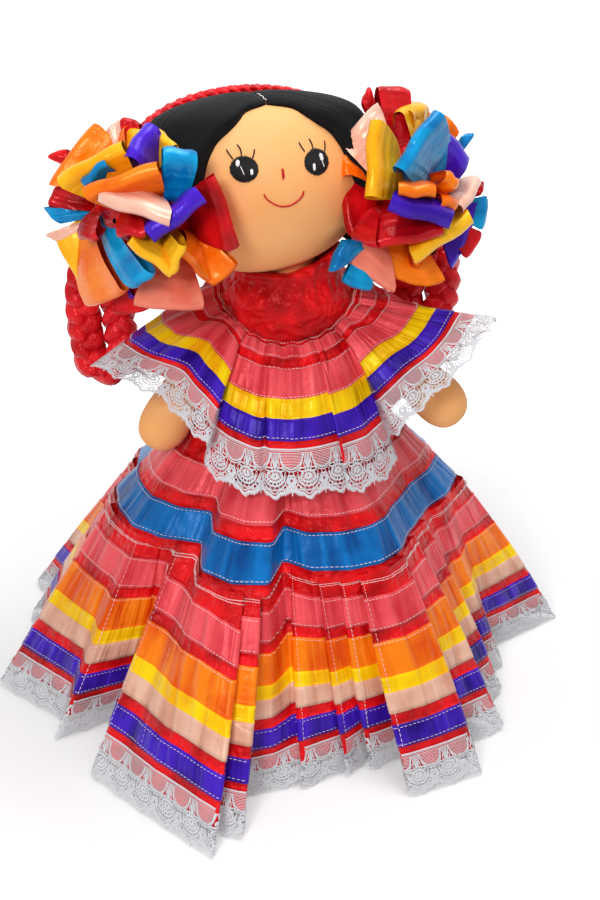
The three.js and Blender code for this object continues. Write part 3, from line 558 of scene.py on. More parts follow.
# Skirt, upper tier. Red satin gathered into the waistband and pressed into broad folds, with a
# blue and a coral satin ribbon topstitched flat round it in white thread.
def satin(name, light, deep, crinkle=0.25, crinkle_size=11.0, roughness=0.3, shine=0.6,
          crease_depth_and_shade=0.6):
    """Woven polyester satin. Its long floats lie across the ribbon and stretch each highlight."""
    material, tree = empty_material(name)
    place = node(tree, "TexCoord").outputs["Object"]
    flat = node(tree, "UVMap", uv_map="flat")
    clouds = node(tree, "TexNoise", {"Vector": place, "Scale": 38.0, "Detail": 3.0})
    # Soft creases about 14 mm apart run across the ribbon. Their noise is also painted into the
    # colour: painted shade darkens it in the creases, and a paler painted sheen lies between them.
    crosswise = node(tree, "VectorMath", {0: flat.outputs[0], 1: (1.0, 0.12, 1.0)},
                     operation="MULTIPLY")
    crease_streaks_and_shade = node(tree, "TexNoise", {"Vector": crosswise.outputs[0], "Scale": 70.0, "Detail": 2.0,
                                      "Distortion": 0.4})
    depth = node(tree, "Mix", {"Factor": crease_depth_and_shade, "A": clouds.outputs["Fac"],
                               "B": crease_streaks_and_shade.outputs["Fac"]})
    # The ramp runs from the deeper colour to the light one. The clouds give random tone, and the
    # crease noise gives painted crease shade and painted sheen.
    tone = node(tree, "ValToRGB", {"Fac": depth.outputs[0]})
    tone.color_ramp.elements[0].color = srgb(deep)
    tone.color_ramp.elements[0].position = 0.38
    tone.color_ramp.elements[1].color = srgb(light)
    tone.color_ramp.elements[1].position = 0.58
    # Weft ribs of 0.3 mm, drawn at 0.9 mm so that they show as a faint grain.
    ribs = node(tree, "TexWave", {"Vector": flat.outputs[0], "Scale": 350.0, "Distortion": 1.5,
                                  "Detail": 2.0, "Detail Scale": 2.0},
                wave_type="BANDS", bands_direction="X")
    puckers = node(tree, "TexNoise", {"Vector": place, "Scale": 1000.0 / crinkle_size,
                                      "Detail": 4.0,
                                      "Distortion": 0.6})
    fine = node(tree, "Bump", {"Height": ribs.outputs["Fac"], "Strength": 0.06, "Distance": 0.0002})
    folds = node(tree, "Bump", {"Height": crease_streaks_and_shade.outputs["Fac"], "Strength": crease_depth_and_shade,
                                "Distance": 0.008,
                                "Normal": fine.outputs[0]})
    bump = node(tree, "Bump", {"Height": puckers.outputs["Fac"], "Strength": crinkle,
                               "Distance": 0.004, "Normal": folds.outputs[0]})
    # Light comes back out of dyed fibres with some of their colour.
    tint = [0.86 * channel + 0.14 for channel in srgb(light)]
    float_line = node(tree, "Tangent", direction_type="UV_MAP", uv_map="flat")
    shader = node(tree, "BsdfPrincipled", {
        "Base Color": tone.outputs[0], "Roughness": roughness, "IOR": 1.55,
        "Specular IOR Level": shine, "Specular Tint": tint, "Anisotropic": 0.6,
        "Tangent": float_line.outputs[0],
        "Normal": bump.outputs[0]})
    node(tree, "OutputMaterial", {"Surface": shader.outputs[0]})
    return material


red_satin = satin("crinkled red dress satin", "#ea141b", "#a8060b", crinkle=1.0, crinkle_size=12.0,
                  crease_depth_and_shade=0.2)
coral_ribbon = satin("coral satin ribbon", "#f65b62", "#cf2c38", crinkle=0.22)
blue_ribbon = satin("blue satin ribbon", "#0c70bc", "#043f80", crinkle=0.2)
seam_thread = floss("white polyester seam thread", "#f6dcdc", 0.6)


def polar(angle, radius, depth_share=1.0):
    angle = np.radians(angle)
    return np.stack([radius * np.sin(angle), -radius * np.cos(angle) * depth_share], axis=-1)


def rounded_columns(vertices, soften, spacing):
    """Samples a closed outline of folds. A vertex starts with its hem's x and y."""
    v = np.asarray(vertices, dtype=float)
    ahead, behind = np.roll(v, -1, axis=0), np.roll(v, 1, axis=0)
    length = np.linalg.norm((ahead - v)[:, :2], axis=1)
    before = np.roll(length, 1)
    columns, corners = [], []
    for i in range(len(v)):
        cut_in = min(soften, 0.4 * before[i]) / before[i]
        cut_out = min(soften, 0.4 * length[i]) / length[i]
        start, end = v[i] + (behind[i] - v[i]) * cut_in, v[i] + (ahead[i] - v[i]) * cut_out
        corners.append(len(columns) + 2)
        for t in (0, 0.25, 0.5, 0.75):
            columns.append(start * (1 - t) ** 2 + 2 * v[i] * t * (1 - t) + end * t**2)
        stop = ahead[i] + (v[i] - ahead[i]) * min(soften, 0.4 * length[i]) / length[i]
        steps = max(int(np.linalg.norm((stop - end)[:2]) / spacing), 1)
        columns.extend(end + (stop - end) * (k / steps) for k in range(steps))
    return np.array(columns), corners


def cloth_of(points, v, u=None, closed=True):
    """A cloth to sew on: its points by row and column, with where they lie when it is flat."""
    ring = np.concatenate([points, points[:, :1]], axis=1) if closed else points
    along = np.gradient(ring, axis=1)
    if closed:
        along[:, 0] = along[:, -1] = ring[:, 1] - ring[:, -2]
    down = np.gradient(ring, axis=0)
    normals = unit(np.cross(down, along) + 1e-9)
    if u is None:
        steps = np.linalg.norm(np.diff(ring[-1], axis=0), axis=1)
        u = np.concatenate([[0], np.cumsum(steps)])
    return {"points": ring, "normals": normals, "u": u, "v": np.asarray(v, dtype=float),
            "closed": closed}


def on_cloth(cloth, u, v, lift=0.0):
    """Points that lie on the cloth, given where they are when it is spread flat."""
    u, v, lift = np.broadcast_arrays(u, v, lift)
    if cloth["closed"]:
        u = np.mod(u, cloth["u"][-1])
    c = np.clip(np.searchsorted(cloth["u"], u, side="right") - 1, 0, len(cloth["u"]) - 2)
    r = np.clip(np.searchsorted(cloth["v"], v, side="right") - 1, 0, len(cloth["v"]) - 2)
    s = ((u - cloth["u"][c]) / np.maximum(cloth["u"][c + 1] - cloth["u"][c], 1e-6))[..., None]
    t = ((v - cloth["v"][r]) / (cloth["v"][r + 1] - cloth["v"][r]))[..., None]
    found = []
    for field in (cloth["points"], cloth["normals"]):
        found.append((field[r, c] * (1 - s) + field[r, c + 1] * s) * (1 - t)
                     + (field[r + 1, c] * (1 - s) + field[r + 1, c + 1] * s) * t)
    return found[0] + found[1] * lift[..., None]


def ribboned(name, cloth, bands, finishes, columns, ribbon_lift=0.55, row_height=3.0, closed=True):
    """The cloth with its ribbons: bands are (from, to, finish), and finish 0 is the bare satin."""
    rows, lifts, row_finish = [], [], []
    for start, stop, finish in bands:
        count = max(int(round((stop - start) / row_height)), 1)
        for v in np.linspace(start, stop, count + 1):
            rows.append(v)
            lifts.append(ribbon_lift if finish else 0.0)
            row_finish.append(finish)
    v, lift = np.array(rows), np.array(lifts)
    u = columns
    points = on_cloth(cloth, u[None, :], v[:, None], lift[:, None])
    face_rows = np.array(row_finish[:-1])
    faces = grid_faces(len(v), len(u), closed=closed)
    per_row = len(u) if closed else len(u) - 1
    flat = np.stack(np.broadcast_arrays(u[None, :], v[:, None]), axis=-1).reshape(-1, 2)
    return as_object(name, points.reshape(-1, 3), faces, finishes, np.repeat(face_rows, per_row),
                     flat=flat)


def running_stitches(name, cloth, lines, finish, pitch=3.6, length=2.3, width=0.34, lift=0.95,
                     seed=1):
    """Machine stitches along the cloth. A line is a height, or a height with its two ends."""
    order = np.random.default_rng(seed)
    points, faces = [], []
    for line in lines:
        height, start, stop = line if isinstance(line, tuple) else (line, 0.0, cloth["u"][-1])
        u0 = np.arange(start, stop - pitch, pitch) + order.uniform(-0.15, 0.15,
                                                                   len(np.arange(start, stop
                                                                                 - pitch, pitch)))
        wander = 0.35 * np.sin(u0 / 31.0 + height)
        t = np.array([0.0, 0.5, 1.0])
        u = u0[:, None] + length * t[None]
        rise = np.array([0.1, lift, 0.1])
        rows = []
        for edge in (-width / 2, width / 2):
            rows.append(on_cloth(cloth, u, height + wander[:, None] + edge, rise[None] + 0.45))
        block = np.stack(rows, axis=1).reshape(-1, 3)
        base = len(points) + np.arange(len(u0)) * 6
        points.extend(block.tolist())
        for b in base:
            faces.append((b, b + 3, b + 4, b + 1))
            faces.append((b + 1, b + 4, b + 5, b + 2))
    return as_object(name, points, faces, [finish])


waist_height, seam_height, waist_radius, waist_depth = 238.0, 135.0, 49.0, 0.84
# Folds of the upper tier at its lower edge: degrees round the doll from its front, and reach.
upper_folds = [
    (-75, 134), (-62, 131), (-50, 122), (-37, 107), (-34.5, 109), (-26, 138), (-15, 147),
    (-5, 144), (-2, 112),
    (0, 111), (8, 126), (20, 131), (31, 133), (40, 127), (50, 116), (60, 112), (72, 111), (84, 124),
    (98, 136), (112, 126), (126, 138), (141, 126), (156, 137), (170, 125), (184, 138), (199, 126),
    (213, 137), (228, 126), (242, 137), (257, 124), (270, 134)]
upper_table = np.array([(a - 360, r) for a, r in upper_folds] + upper_folds
                       + [(a + 360, r) for a, r in upper_folds], dtype=float)


def seam_reach(angle):
    return np.interp(angle, upper_table[:, 0], upper_table[:, 1])


hem_xy, _ = rounded_columns([polar(a, r) for a, r in upper_folds], 5.0, 2.4)
angles = np.degrees(np.arctan2(hem_xy[:, 0], -hem_xy[:, 1]))
reach = np.linalg.norm(hem_xy, axis=1)
upper_slant = 131.0
upper_v = np.linspace(0, upper_slant, 44)
share = 1 - upper_v / upper_slant
share = share[:, None]
radius = waist_radius + (reach[None] - waist_radius) * share**1.15
height = waist_height + (seam_height - waist_height) * share
gathers = 1.5 * np.exp(-share / 0.16) * np.cos(np.radians(angles * 36))[None]
gathers = gathers + 1.0 * np.exp(-share / 0.35) * np.cos(np.radians(angles * 17 + 40))[None]
depth_share = waist_depth + (1 - waist_depth) * share
xy = np.stack([(radius + gathers) * np.sin(np.radians(angles))[None],
               -(radius + gathers) * np.cos(np.radians(angles))[None] * depth_share], axis=-1)
upper = np.concatenate([xy, np.broadcast_to(height, xy.shape[:2])[..., None]], axis=-1)[::-1]
upper_v = upper_slant - upper_v[::-1]
# Rows now run down from the waist, and v is counted down from it too.
outward = unit(upper * [1, 1, 0])
upper = upper + outward * (0.9 * noise_at(upper * [1, 1, 0.55], 21.0, 41)
                           + 0.5 * noise_at(upper * [1, 1, 0.5], 8.0, 42))[..., None]
upper_cloth = cloth_of(upper, upper_v)
upper_bands = [(0, 64.5, 0), (64.5, 89.5, 1), (89.5, 99.5, 0), (99.5, 124, 2), (124, 131, 0)]
upper_tier = ribboned("upper_skirt_tier", upper_cloth, upper_bands,
                      [red_satin, coral_ribbon, blue_ribbon],
                      upper_cloth["u"][:-1])
upper_stitches = running_stitches("upper_tier_stitching", upper_cloth, [66.3, 87.7, 101.3, 122.3],
                                  seam_thread, seed=3)
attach(upper_tier, "torso")
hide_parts("skirt_upper_tier")
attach(upper_stitches, "torso")


# Skirt, lower tier. Red satin set in knife pleats under the upper tier, with coral, orange, yellow,
# peach and purple ribbons laid round it before it was pleated, so that their bands break at a fold.
orange_ribbon = satin("orange satin ribbon", "#ff8412", "#e04a02", crinkle=0.25)
yellow_ribbon = satin("yellow satin ribbon", "#ffd808", "#f0a400", crinkle=0.2)
peach_ribbon = satin("peach satin ribbon", "#eebfa6", "#cf8f76", crinkle=0.3)
purple_ribbon = satin("purple satin ribbon", "#4420bc", "#1f0670", crinkle=0.2)

# Each fold: degrees and reach at the hem, then degrees and reach at the seam. A fold that is
# tucked behind its neighbour has a shorter reach.
lower_folds = [
    (-100, 214, -100, 134), (-77, 200, -80, 127), (-75, 229, -80, 136), (-58, 195, -62, 131),
    (-53, 210, -57, 133), (-50.5, 158, -50, 124), (-53, 140, -52, 124), (-43, 150, -46, 124),
    (-40, 215, -43, 134), (-30, 221, -31, 133), (-10.8, 253, -11, 138), (-15.5, 226, -16, 127),
    (-7.1, 232, -6.5, 136), (-13, 196, -12, 126), (8, 172, 2, 126), (3.1, 181, 1.5, 134),
    (19, 160, 12, 126), (14, 173, 9.5, 134), (26, 152, 19, 126), (20.3, 170, 16, 134),
    (30, 168, 26, 127), (24.5, 206, 22, 136), (40.1, 213, 41, 137), (38, 180, 40, 128),
    (54.7, 196, 53, 136), (52, 168, 51, 127), (67.1, 177, 65, 135), (66, 152, 64, 126),
    (78, 170, 76, 135), (86, 160, 85, 127), (98, 220, 97, 136), (99.5, 190, 99, 127),
    (114, 226, 114, 136), (115.5, 194, 116, 127), (129.5, 190, 129, 128), (131, 210, 131, 135),
    (146, 238, 146, 136), (147.5, 202, 148, 127), (163, 222, 163, 136), (164.5, 190, 165, 127),
    (178, 246, 178, 136), (179.5, 208, 180, 127), (192, 244, 192, 136), (193.5, 204, 194, 127),
    (204.5, 188, 204, 127), (206, 216, 206, 135), (219.5, 196, 219, 127), (221, 230, 221, 136),
    (235.5, 186, 235, 127), (237, 212, 237, 135), (247.5, 198, 247, 127), (249, 230, 249, 136),
    (258.5, 190, 258, 128)]
hem_level, seam_lap, tier_length, top_band, usual_slant = 0.6, 4.0, 163.0, 20.0, 155.0
columns, corners = rounded_columns(
    [(*polar(ah, rh), *polar(a, 1), r) for ah, rh, a, r in lower_folds], 3.0, 2.4)
hem_xy = columns[:, :2]
seam_angle = np.degrees(np.arctan2(columns[:, 2], -columns[:, 3]))
seam_xy = polar(seam_angle, seam_reach(seam_angle) + (columns[:, 4] - 131) * 0.45 - 0.8)
slant = np.hypot(np.linalg.norm(hem_xy - seam_xy, axis=1), seam_height)
# The ribbons keep their distance from the hem, and the plain band at the top takes up the rest.
fit = np.clip(slant / usual_slant, 0.86, 1.05)
lower_v = np.concatenate([[-seam_lap], np.linspace(0, tier_length, 57)])
kept = slant[None] - (tier_length - lower_v[:, None]) * fit[None]
stretched = (slant - (tier_length - top_band) * fit)[None] * lower_v[:, None] / top_band
down = np.where(lower_v[:, None] < top_band, stretched, kept) / slant[None]
down[0] = 0
lower = np.empty((*down.shape, 3))
lower[..., :2] = seam_xy[None] + (hem_xy - seam_xy)[None] * down[..., None]
lower[..., 2] = seam_height + (hem_level - seam_height) * down
lower[0] += [0, 0, seam_lap]
lower[0, :, :2] *= 0.985
lower_cloth = cloth_of(lower, lower_v)
place_when_flat = np.stack(np.broadcast_arrays(lower_cloth["u"][None, :-1], lower_v[:, None], 0.0),
                           axis=-1)
belly = 2.0 * np.sin(math.pi * np.clip(down, 0, 1))
gathered = (1.5 * np.exp(-np.abs(lower_v[:, None]) / 13.0)
            * noise_at(place_when_flat * [1, 0.25, 1], 5.5, 51))
ruched = (np.exp(-((lower_v[:, None] - 48) / 4.5) ** 2)
          + np.exp(-((lower_v[:, None] - 107) / 4.5) ** 2))
wrinkle = (1.0 * noise_at(place_when_flat * [1, 0.5, 1], 34.0, 52)
           + 0.30 * noise_at(place_when_flat * [1, 0.45, 1], 9.0, 53)
           + 1.3 * ruched * noise_at(place_when_flat * [1, 0.6, 1], 5.5, 54))
offset = belly + (gathered + wrinkle) * np.clip((tier_length - lower_v[:, None]) / 20 + 0.2, 0, 1)
offset[0] = 0
lower = lower + lower_cloth["normals"][:, :-1] * offset[..., None]
lower[..., 2] = np.maximum(lower[..., 2], hem_level)
lower_cloth = cloth_of(lower, lower_v, lower_cloth["u"])
lower_bands = [(-4, 20, 0), (20, 44, 1), (44, 52, 0), (52, 77, 2), (77, 88, 3), (88, 103, 4),
               (103, 111, 0), (111, 127, 5), (127, 144, 0)]
lower_finishes = [red_satin, coral_ribbon, orange_ribbon, yellow_ribbon, peach_ribbon,
                  purple_ribbon]
lower_tier = ribboned("lower_skirt_tier", lower_cloth, lower_bands, lower_finishes,
                      lower_cloth["u"][:-1])
lower_stitches = running_stitches(
    "lower_tier_stitching", lower_cloth, [22.0, 42.2, 53.6, 113.0, 125.2], seam_thread, seed=4)
# Beside each outer fold a line of stitches keeps the pleat's edge sharp.
fold_lines = [lower_cloth["u"][corners[i]] for i, fold in enumerate(lower_folds) if fold[3] >= 130]
order = np.random.default_rng(6)
points, faces = [], []
for fold_u in fold_lines:
    for v0 in np.arange(2.0, 128.0, 3.6):
        v = v0 + np.array([0, 1.2, 2.4])
        for edge in (-0.15, 0.15):
            points.extend(on_cloth(lower_cloth, fold_u + 1.6 + edge, v,
                                   np.array([0.6, 1.3, 0.6])).tolist())
        b = len(points) - 6
        faces += [(b, b + 3, b + 4, b + 1), (b + 1, b + 4, b + 5, b + 2)]
pleat_stitches = as_object("pleat_edge_stitching", points, faces, [seam_thread])
chain = running_stitches("tier_seam_chain", lower_cloth, [1.2, 3.4], seam_thread, pitch=2.5,
                         length=1.9,
                         width=0.7, lift=1.0, seed=8)
for piece in (lower_tier, lower_stitches, pleat_stitches, chain):
    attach(piece, "torso")
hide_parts("skirt_lower_tier")


# Hem lace. White machine-knitted nylon lace with a 24 mm repeat, topstitched over the edge of the
# satin, so that red shows through its upper windows and the floor through its lower half.
lace_thread, tree = empty_material("white nylon lace thread")
place = node(tree, "TexCoord").outputs["Object"]
twist = node(tree, "TexNoise", {"Vector": place, "Scale": 1800.0, "Detail": 2.0})
bump = node(tree, "Bump", {"Height": twist.outputs["Fac"], "Strength": 0.4, "Distance": 0.0002})
lace_shader = node(tree, "BsdfPrincipled", {
    "Base Color": srgb("#dcdde2"), "Roughness": 0.7, "IOR": 1.5, "Specular IOR Level": 0.3,
    "Normal": bump.outputs[0]})
node(tree, "OutputMaterial", {"Surface": lace_shader.outputs[0]})


# Threads are drawn half as thick again as they are, so that they show, and the lace is open work.
lace_weight, lace_cover = 1.5, 0.8


def strip(points, width, closed=False):
    """A thread seen from above: an outline of points widened to both sides, as quads."""
    width = width * lace_weight
    p = np.asarray(points, dtype=float)
    if closed:
        p = np.vstack([p, p[:1]])
    ahead = np.gradient(p, axis=0)
    if closed:
        ahead[0] = ahead[-1] = p[1] - p[-2]
    square = np.stack([-ahead[:, 1], ahead[:, 0]], axis=1)
    square /= np.maximum(np.linalg.norm(square, axis=1, keepdims=True), 1e-9)
    left, right = p + square * width / 2, p - square * width / 2
    return [(left[i], right[i], right[i + 1], left[i + 1]) for i in range(len(p) - 1)]


def oval(x, y, half_x, half_y, start=0.0, stop=360.0, count=14):
    a = np.radians(np.linspace(start, stop, count))
    return np.stack([x + half_x * np.cos(a), y + half_y * np.sin(a)], axis=1)


lace_repeat, lace_width = 24.0, 31.0


def lace_unit(seed=9):
    """One repeat of the pattern as quads, from -12 to 12 across and 0 to 31 down."""
    order = np.random.default_rng(seed)
    half = lace_repeat / 2
    quads = []
    for top, bottom in ((0.0, 1.1), (1.5, 1.9), (2.6, 3.1)):
        for x in np.arange(-half, half, 4.0):
            quads.append(((x, top), (x, bottom), (x + 4.0, bottom), (x + 4.0, top)))
    for side in (-1, 1):
        # Half of a window: an arch with fine lines of net across it.
        arch = np.array([(side * (half - w), 3.1 + 9.6 * math.sqrt(1 - (w / 8.6) ** 2))
                         for w in np.linspace(0, 8.6, 10)])
        quads += strip(arch, 0.65)
        quads += strip(arch + [0, 1.5], 0.45)
        for y in np.arange(3.9, 12.0, 0.95):
            reach = 8.6 * math.sqrt(max(1 - ((y - 3.1) / 9.6) ** 2, 0))
            quads += strip([(side * half, y), (side * (half - reach / 2), y),
                            (side * (half - reach), y)], 0.24)
        # Sprigs that fan up between two windows.
        for lean in (0.0, 1.4, 2.8):
            quads += strip([(0, 13.0), (side * lean * 0.7, 8.0), (side * lean, 3.1)], 0.5)
        quads += strip(oval(side * 1.9, 9.6, 1.0, 2.1, 0, 360), 0.5, closed=False)
        quads += strip(oval(side * 4.1, 13.0, 2.4, 1.1, 0, 360), 0.6)
        # A rosette half-way to the next repeat.
        for a in (20, 75, 130, 185, 240, 295, 350):
            x = side * half - side * 2.2 * abs(math.cos(math.radians(a)))
            y = 19.6 + 2.4 * math.sin(math.radians(a))
            if abs(x) <= half:
                quads += strip(oval(x, y, 1.1, 1.0, 0, 360, 8), 0.65)
        quads += strip(oval(side * (half - 4.6), 24.0, 1.5, 1.9, 0, 360, 10), 0.6)
        quads += strip(oval(side * (half - 1.4), 24.6, 1.2, 1.3, 0, 360, 9), 0.55)
    # The eye: a solid diamond round a hole, in two ovals.
    hole = oval(0, 17, 0.85, 0.85, 0, 360, 5)
    outer = oval(0, 17, 2.9, 2.1, 0, 360, 13)
    inner = np.array([np.interp(np.linspace(0, 4, 13), range(5), hole[:, i]) for i in range(2)]).T
    quads += [(outer[i], inner[i], inner[i + 1], outer[i + 1]) for i in range(12)]
    quads += strip(oval(0, 17, 5.2, 3.5, 0, 360, 20), 0.75)
    quads += strip(oval(0, 17.4, 7.3, 5.4, -10, 190, 16), 0.7)
    quads += strip(oval(0, 17.8, 8.6, 7.4, 10, 170, 16), 0.45)
    for a in np.arange(0, 360, 30):
        c, s = math.cos(math.radians(a)), math.sin(math.radians(a))
        quads += strip([(3.0 * c, 17 + 2.2 * s), (5.1 * c, 17 + 3.4 * s)], 0.35)
    for a in np.arange(15, 170, 22):
        c, s = math.cos(math.radians(a)), math.sin(math.radians(a))
        quads += strip([(5.3 * c, 17.2 + 3.6 * s), (7.2 * c, 17.4 + 5.3 * s)], 0.45)
    # Knitted ground, in two slants.
    for lean in (-1, 1):
        for x in np.arange(-half, half, 3.0):
            path = [(x + lean * (y - 12) * 0.5, y) for y in (13.5, 17.0, 20.5, 24.0, 27.0)]
            wrapped = [((px + half) % lace_repeat - half, py) for px, py in path]
            for (x0, y0), (x1, y1) in zip(wrapped, wrapped[1:]):
                if abs(x1 - x0) < half:
                    quads += strip([(x0, y0), (x1, y1)], 0.2)
    # The scalloped edge dips under each eye, and carries small picots.
    across = np.linspace(-half, half, 25)
    edge = 26.4 + 2.6 * np.cos(math.pi * across / half) ** 3 * (np.abs(across) < half) + 0.3
    edge_line = np.stack([across, edge], axis=1)
    quads += strip(edge_line, 1.0)
    quads += strip(edge_line - [0, 1.9], 0.5)
    for x, y in edge_line[:-1]:
        long = 1.7 + order.uniform(-0.3, 0.4)
        quads.append(((x - 0.1, y), (x + 0.05, y + long), (x + 0.65, y + long), (x + 0.8, y)))
    return np.array(quads, dtype=float)


def laced(name, cloth, top, repeat_from, repeat_to, lift, squeeze=1.0, floor=0.3):
    """Repeats of the lace sewn along a cloth from one place to another, hung from a height."""
    count = max(int(round((repeat_to - repeat_from) / lace_repeat)), 1)
    pitch = (repeat_to - repeat_from) / count
    unit_quads = lace_unit()
    flat = np.concatenate([unit_quads + [lace_repeat * (i + 0.5), 0] for i in range(count)])
    u = repeat_from + flat[..., 0] * pitch / lace_repeat
    v = top + flat[..., 1] * squeeze
    layers = np.tile(np.arange(len(unit_quads)) % 5 * 0.09, count)[:, None]
    points = on_cloth(cloth, u, v, lift + layers)
    points[..., 2] = np.maximum(points[..., 2], floor)
    corners = points.reshape(-1, 3)
    faces = np.arange(len(corners)).reshape(-1, 4).tolist()
    return as_object(name, corners, faces, [lace_thread])


hem_lace = laced("hem_lace_trim", lower_cloth, 132.0, 0.0, lower_cloth["u"][-1], 0.75)
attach(hem_lace, "torso")
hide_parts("hem_lace")


# Bodice. Crinkled red satin over the torso, with a low stand collar, and a narrow waistband that
# the skirt is sewn to. The sleeves are left out of such dresses: the flounce covers the arms.
def shell_of(name, profile, depth, finish, around=120, crumple=0.9, size=11.0, seed=1):
    """A close-fitting tube of cloth from radii and heights, crumpled by its gathers."""
    ring = smooth_curve(profile, 90)[::-1]
    angle = np.linspace(-180, 180, around, endpoint=False)
    xy = polar(angle[None], ring[:, :1])
    depths = np.interp(ring[:, 1], *depth)
    points = np.concatenate([xy * np.stack([np.ones_like(depths), depths], axis=1)[:, None],
                             np.broadcast_to(ring[:, None, 1:], (len(ring), around, 1))], axis=-1)
    outward = unit(points * [1, 1, 0])
    # Where a noise crosses zero the crushed cloth has a sharp crest.
    creases = 0.5 * noise_at(points * [1, 1, 0.8], size,
                             seed) - 1.1 * np.abs(noise_at(points, size, seed + 1))
    creases = creases - 0.7 * np.abs(noise_at(points, size / 2, seed + 2)) + 0.3
    points = points + outward * (crumple * creases)[..., None]
    girth = 2 * math.pi * float(ring[:, 0].mean())
    flat = np.stack(np.broadcast_arrays(angle[None] / 360 * girth, ring[:, 1:]), axis=-1)
    made = as_object(name, points.reshape(-1, 3), grid_faces(len(ring), around, closed=True),
                     [finish],
                     flat=flat.reshape(-1, 2))
    length = float(np.linalg.norm(np.diff(ring, axis=0), axis=1).sum())
    return made, girth / 1000, length / 1000


# The yoke is seen between the flounce and the chin, so its satin is crumpled most.
yoke_profile = [(48.4, 246), (46.8, 256), (45.2, 266), (44.6, 275), (45.0, 283), (45.6, 291),
                (46.2, 298),
                (45.0, 304.5), (40.4, 311), (38.0, 316), (38.8, 321), (36, 322.6), (29, 321.4),
                (20.5, 319)]
yoke, girth, length = shell_of("bodice_yoke", yoke_profile,
                               ([246, 268, 280, 300, 322], [0.8, 0.84, 0.87, 0.92, 0.94]),
                               red_satin, around=220, crumple=3.0, size=13.0, seed=61)
# The collar stands higher on the side that the head leans away from.
for vertex in yoke.data.vertices:
    vertex.co.z += 0.9 * max(vertex.co.z - 0.311, 0) * min(max(vertex.co.x / 0.03, 0), 1)

waistband_profile = [(49.8, 237.6), (50.6, 240), (50.8, 243), (50.4, 246), (49.4, 247)]
waistband, band_girth, band_length = shell_of("waistband_strip", waistband_profile,
                                              ([237, 247], [0.84, 0.84]), red_satin,
                                    crumple=0.4, size=8.0, seed=63)
for piece, solid, width, height in ((yoke, "bodice", girth, length),
                                    (waistband, "waistband", band_girth, band_length)):
    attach(piece, "torso")
    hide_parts(solid)


# Flounce. A deep gathered frill of the same satin sewn round the neckline, which falls between the
# arms and lies over them. It has coral, yellow and purple ribbons and an edge of the hem's lace.
# It is made in a left and a right half.
# Each fold: degrees round the doll, reach and height at its edge, and degrees at the neck. Where
# the frill falls off an arm, it is tucked under itself before it goes on across the front.
flounce_folds = [
    (-180, 90, 198, -180), (-165, 84, 198, -166), (-150, 93, 197, -152), (-136, 86, 200, -138),
    (-124, 93, 206, -126), (-112, 103, 209, -114), (-98, 122, 224, -100), (-86, 139, 243, -86),
    (-73, 142, 258, -73), (-64, 130, 256, -64), (-57, 123, 254, -57), (-49, 112, 248, -50),
    (-42, 109, 236, -44), (-30.5, 105, 219, -34), (-41, 82, 206, -43), (-37, 97, 197, -38),
    (-24, 100, 190, -25), (-12.5, 102.5, 186.5, -11), (-9.5, 97, 187, -17), (-7, 101.5, 186.5, -12),
    (9, 101, 186.5, 9), (28, 96, 185, 28), (24.5, 102, 184, 20), (41, 99, 183, 37),
    (53.5, 98, 190, 44), (58, 83, 201, 50), (44.5, 108, 223, 40), (53, 119, 243, 50),
    (60, 132, 260, 58), (66, 142, 277, 64), (75, 151, 295, 73), (88, 141, 266, 86),
    (100, 122, 230, 99), (112, 104, 212, 112), (124, 94, 208, 125), (137, 87, 200, 138),
    (151, 93, 197, 152), (166, 85, 198, 166)]
neck_seam_width, neck_seam_depth, neck_seam_front, neck_seam_rise = 47.0, 40.0, 276.0, 30.0
flounce_droop = 1.4
edge_columns, _ = rounded_columns([(*polar(a, r), z, *polar(s, 1)) for a, r, z,
                                   s in flounce_folds], 4.0, 1.9)
edge_columns = np.vstack([edge_columns, edge_columns[:1]])
flounce_turn = np.degrees(np.arctan2(edge_columns[:, 3], -edge_columns[:, 4]))
share = np.linspace(0, 1, 52)[:, None]
seam_z = neck_seam_front + neck_seam_rise * np.clip(
    (1 - np.cos(np.radians(flounce_turn))) / 1.1, 0, 1) ** 0.9
seam_xy = polar(flounce_turn, neck_seam_width, neck_seam_depth / neck_seam_width)
xy = seam_xy[None] + (edge_columns[None, :, :2] - seam_xy[None]) * share[..., None]
drop = share**flounce_droop
flounce = np.concatenate(
    [xy, (seam_z[None] + (edge_columns[:, 2] - seam_z)[None] * drop)[..., None]], axis=-1)
outward = unit(flounce * [1, 1, 0])
flounce = flounce + outward * (1.6 * np.cos(np.radians(flounce_turn * 23))[None]
                               * share * (1 - share))[..., None]
tucks = 2.2 * np.exp(-share * 3.0) * np.sign(np.sin(np.radians(flounce_turn * 24))) * np.abs(
    np.sin(np.radians(flounce_turn * 24))) ** 0.6 * np.clip(share * 12, 0, 1)
flounce_slant = np.linalg.norm(np.diff(flounce, axis=0), axis=-1).sum(axis=0)
lengthwise = share * flounce_slant[None]
along_hem = np.concatenate([[0], np.cumsum(np.linalg.norm(np.diff(flounce[-1], axis=0), axis=1))])
place_when_flat = np.stack(np.broadcast_arrays(along_hem[None], lengthwise, 0.0), axis=-1)
creases = (1.1 * noise_at(place_when_flat * [1, 0.45, 1], 24.0, 71)
           + 0.5 * noise_at(place_when_flat * [1, 0.6, 1], 9.0, 72)) * np.clip(share * 6, 0, 1)
along, down = np.gradient(flounce, axis=1), np.gradient(flounce, axis=0)
normals = unit(np.cross(down, along) + 1e-9)
flounce = flounce + normals * (creases + tucks)[..., None]
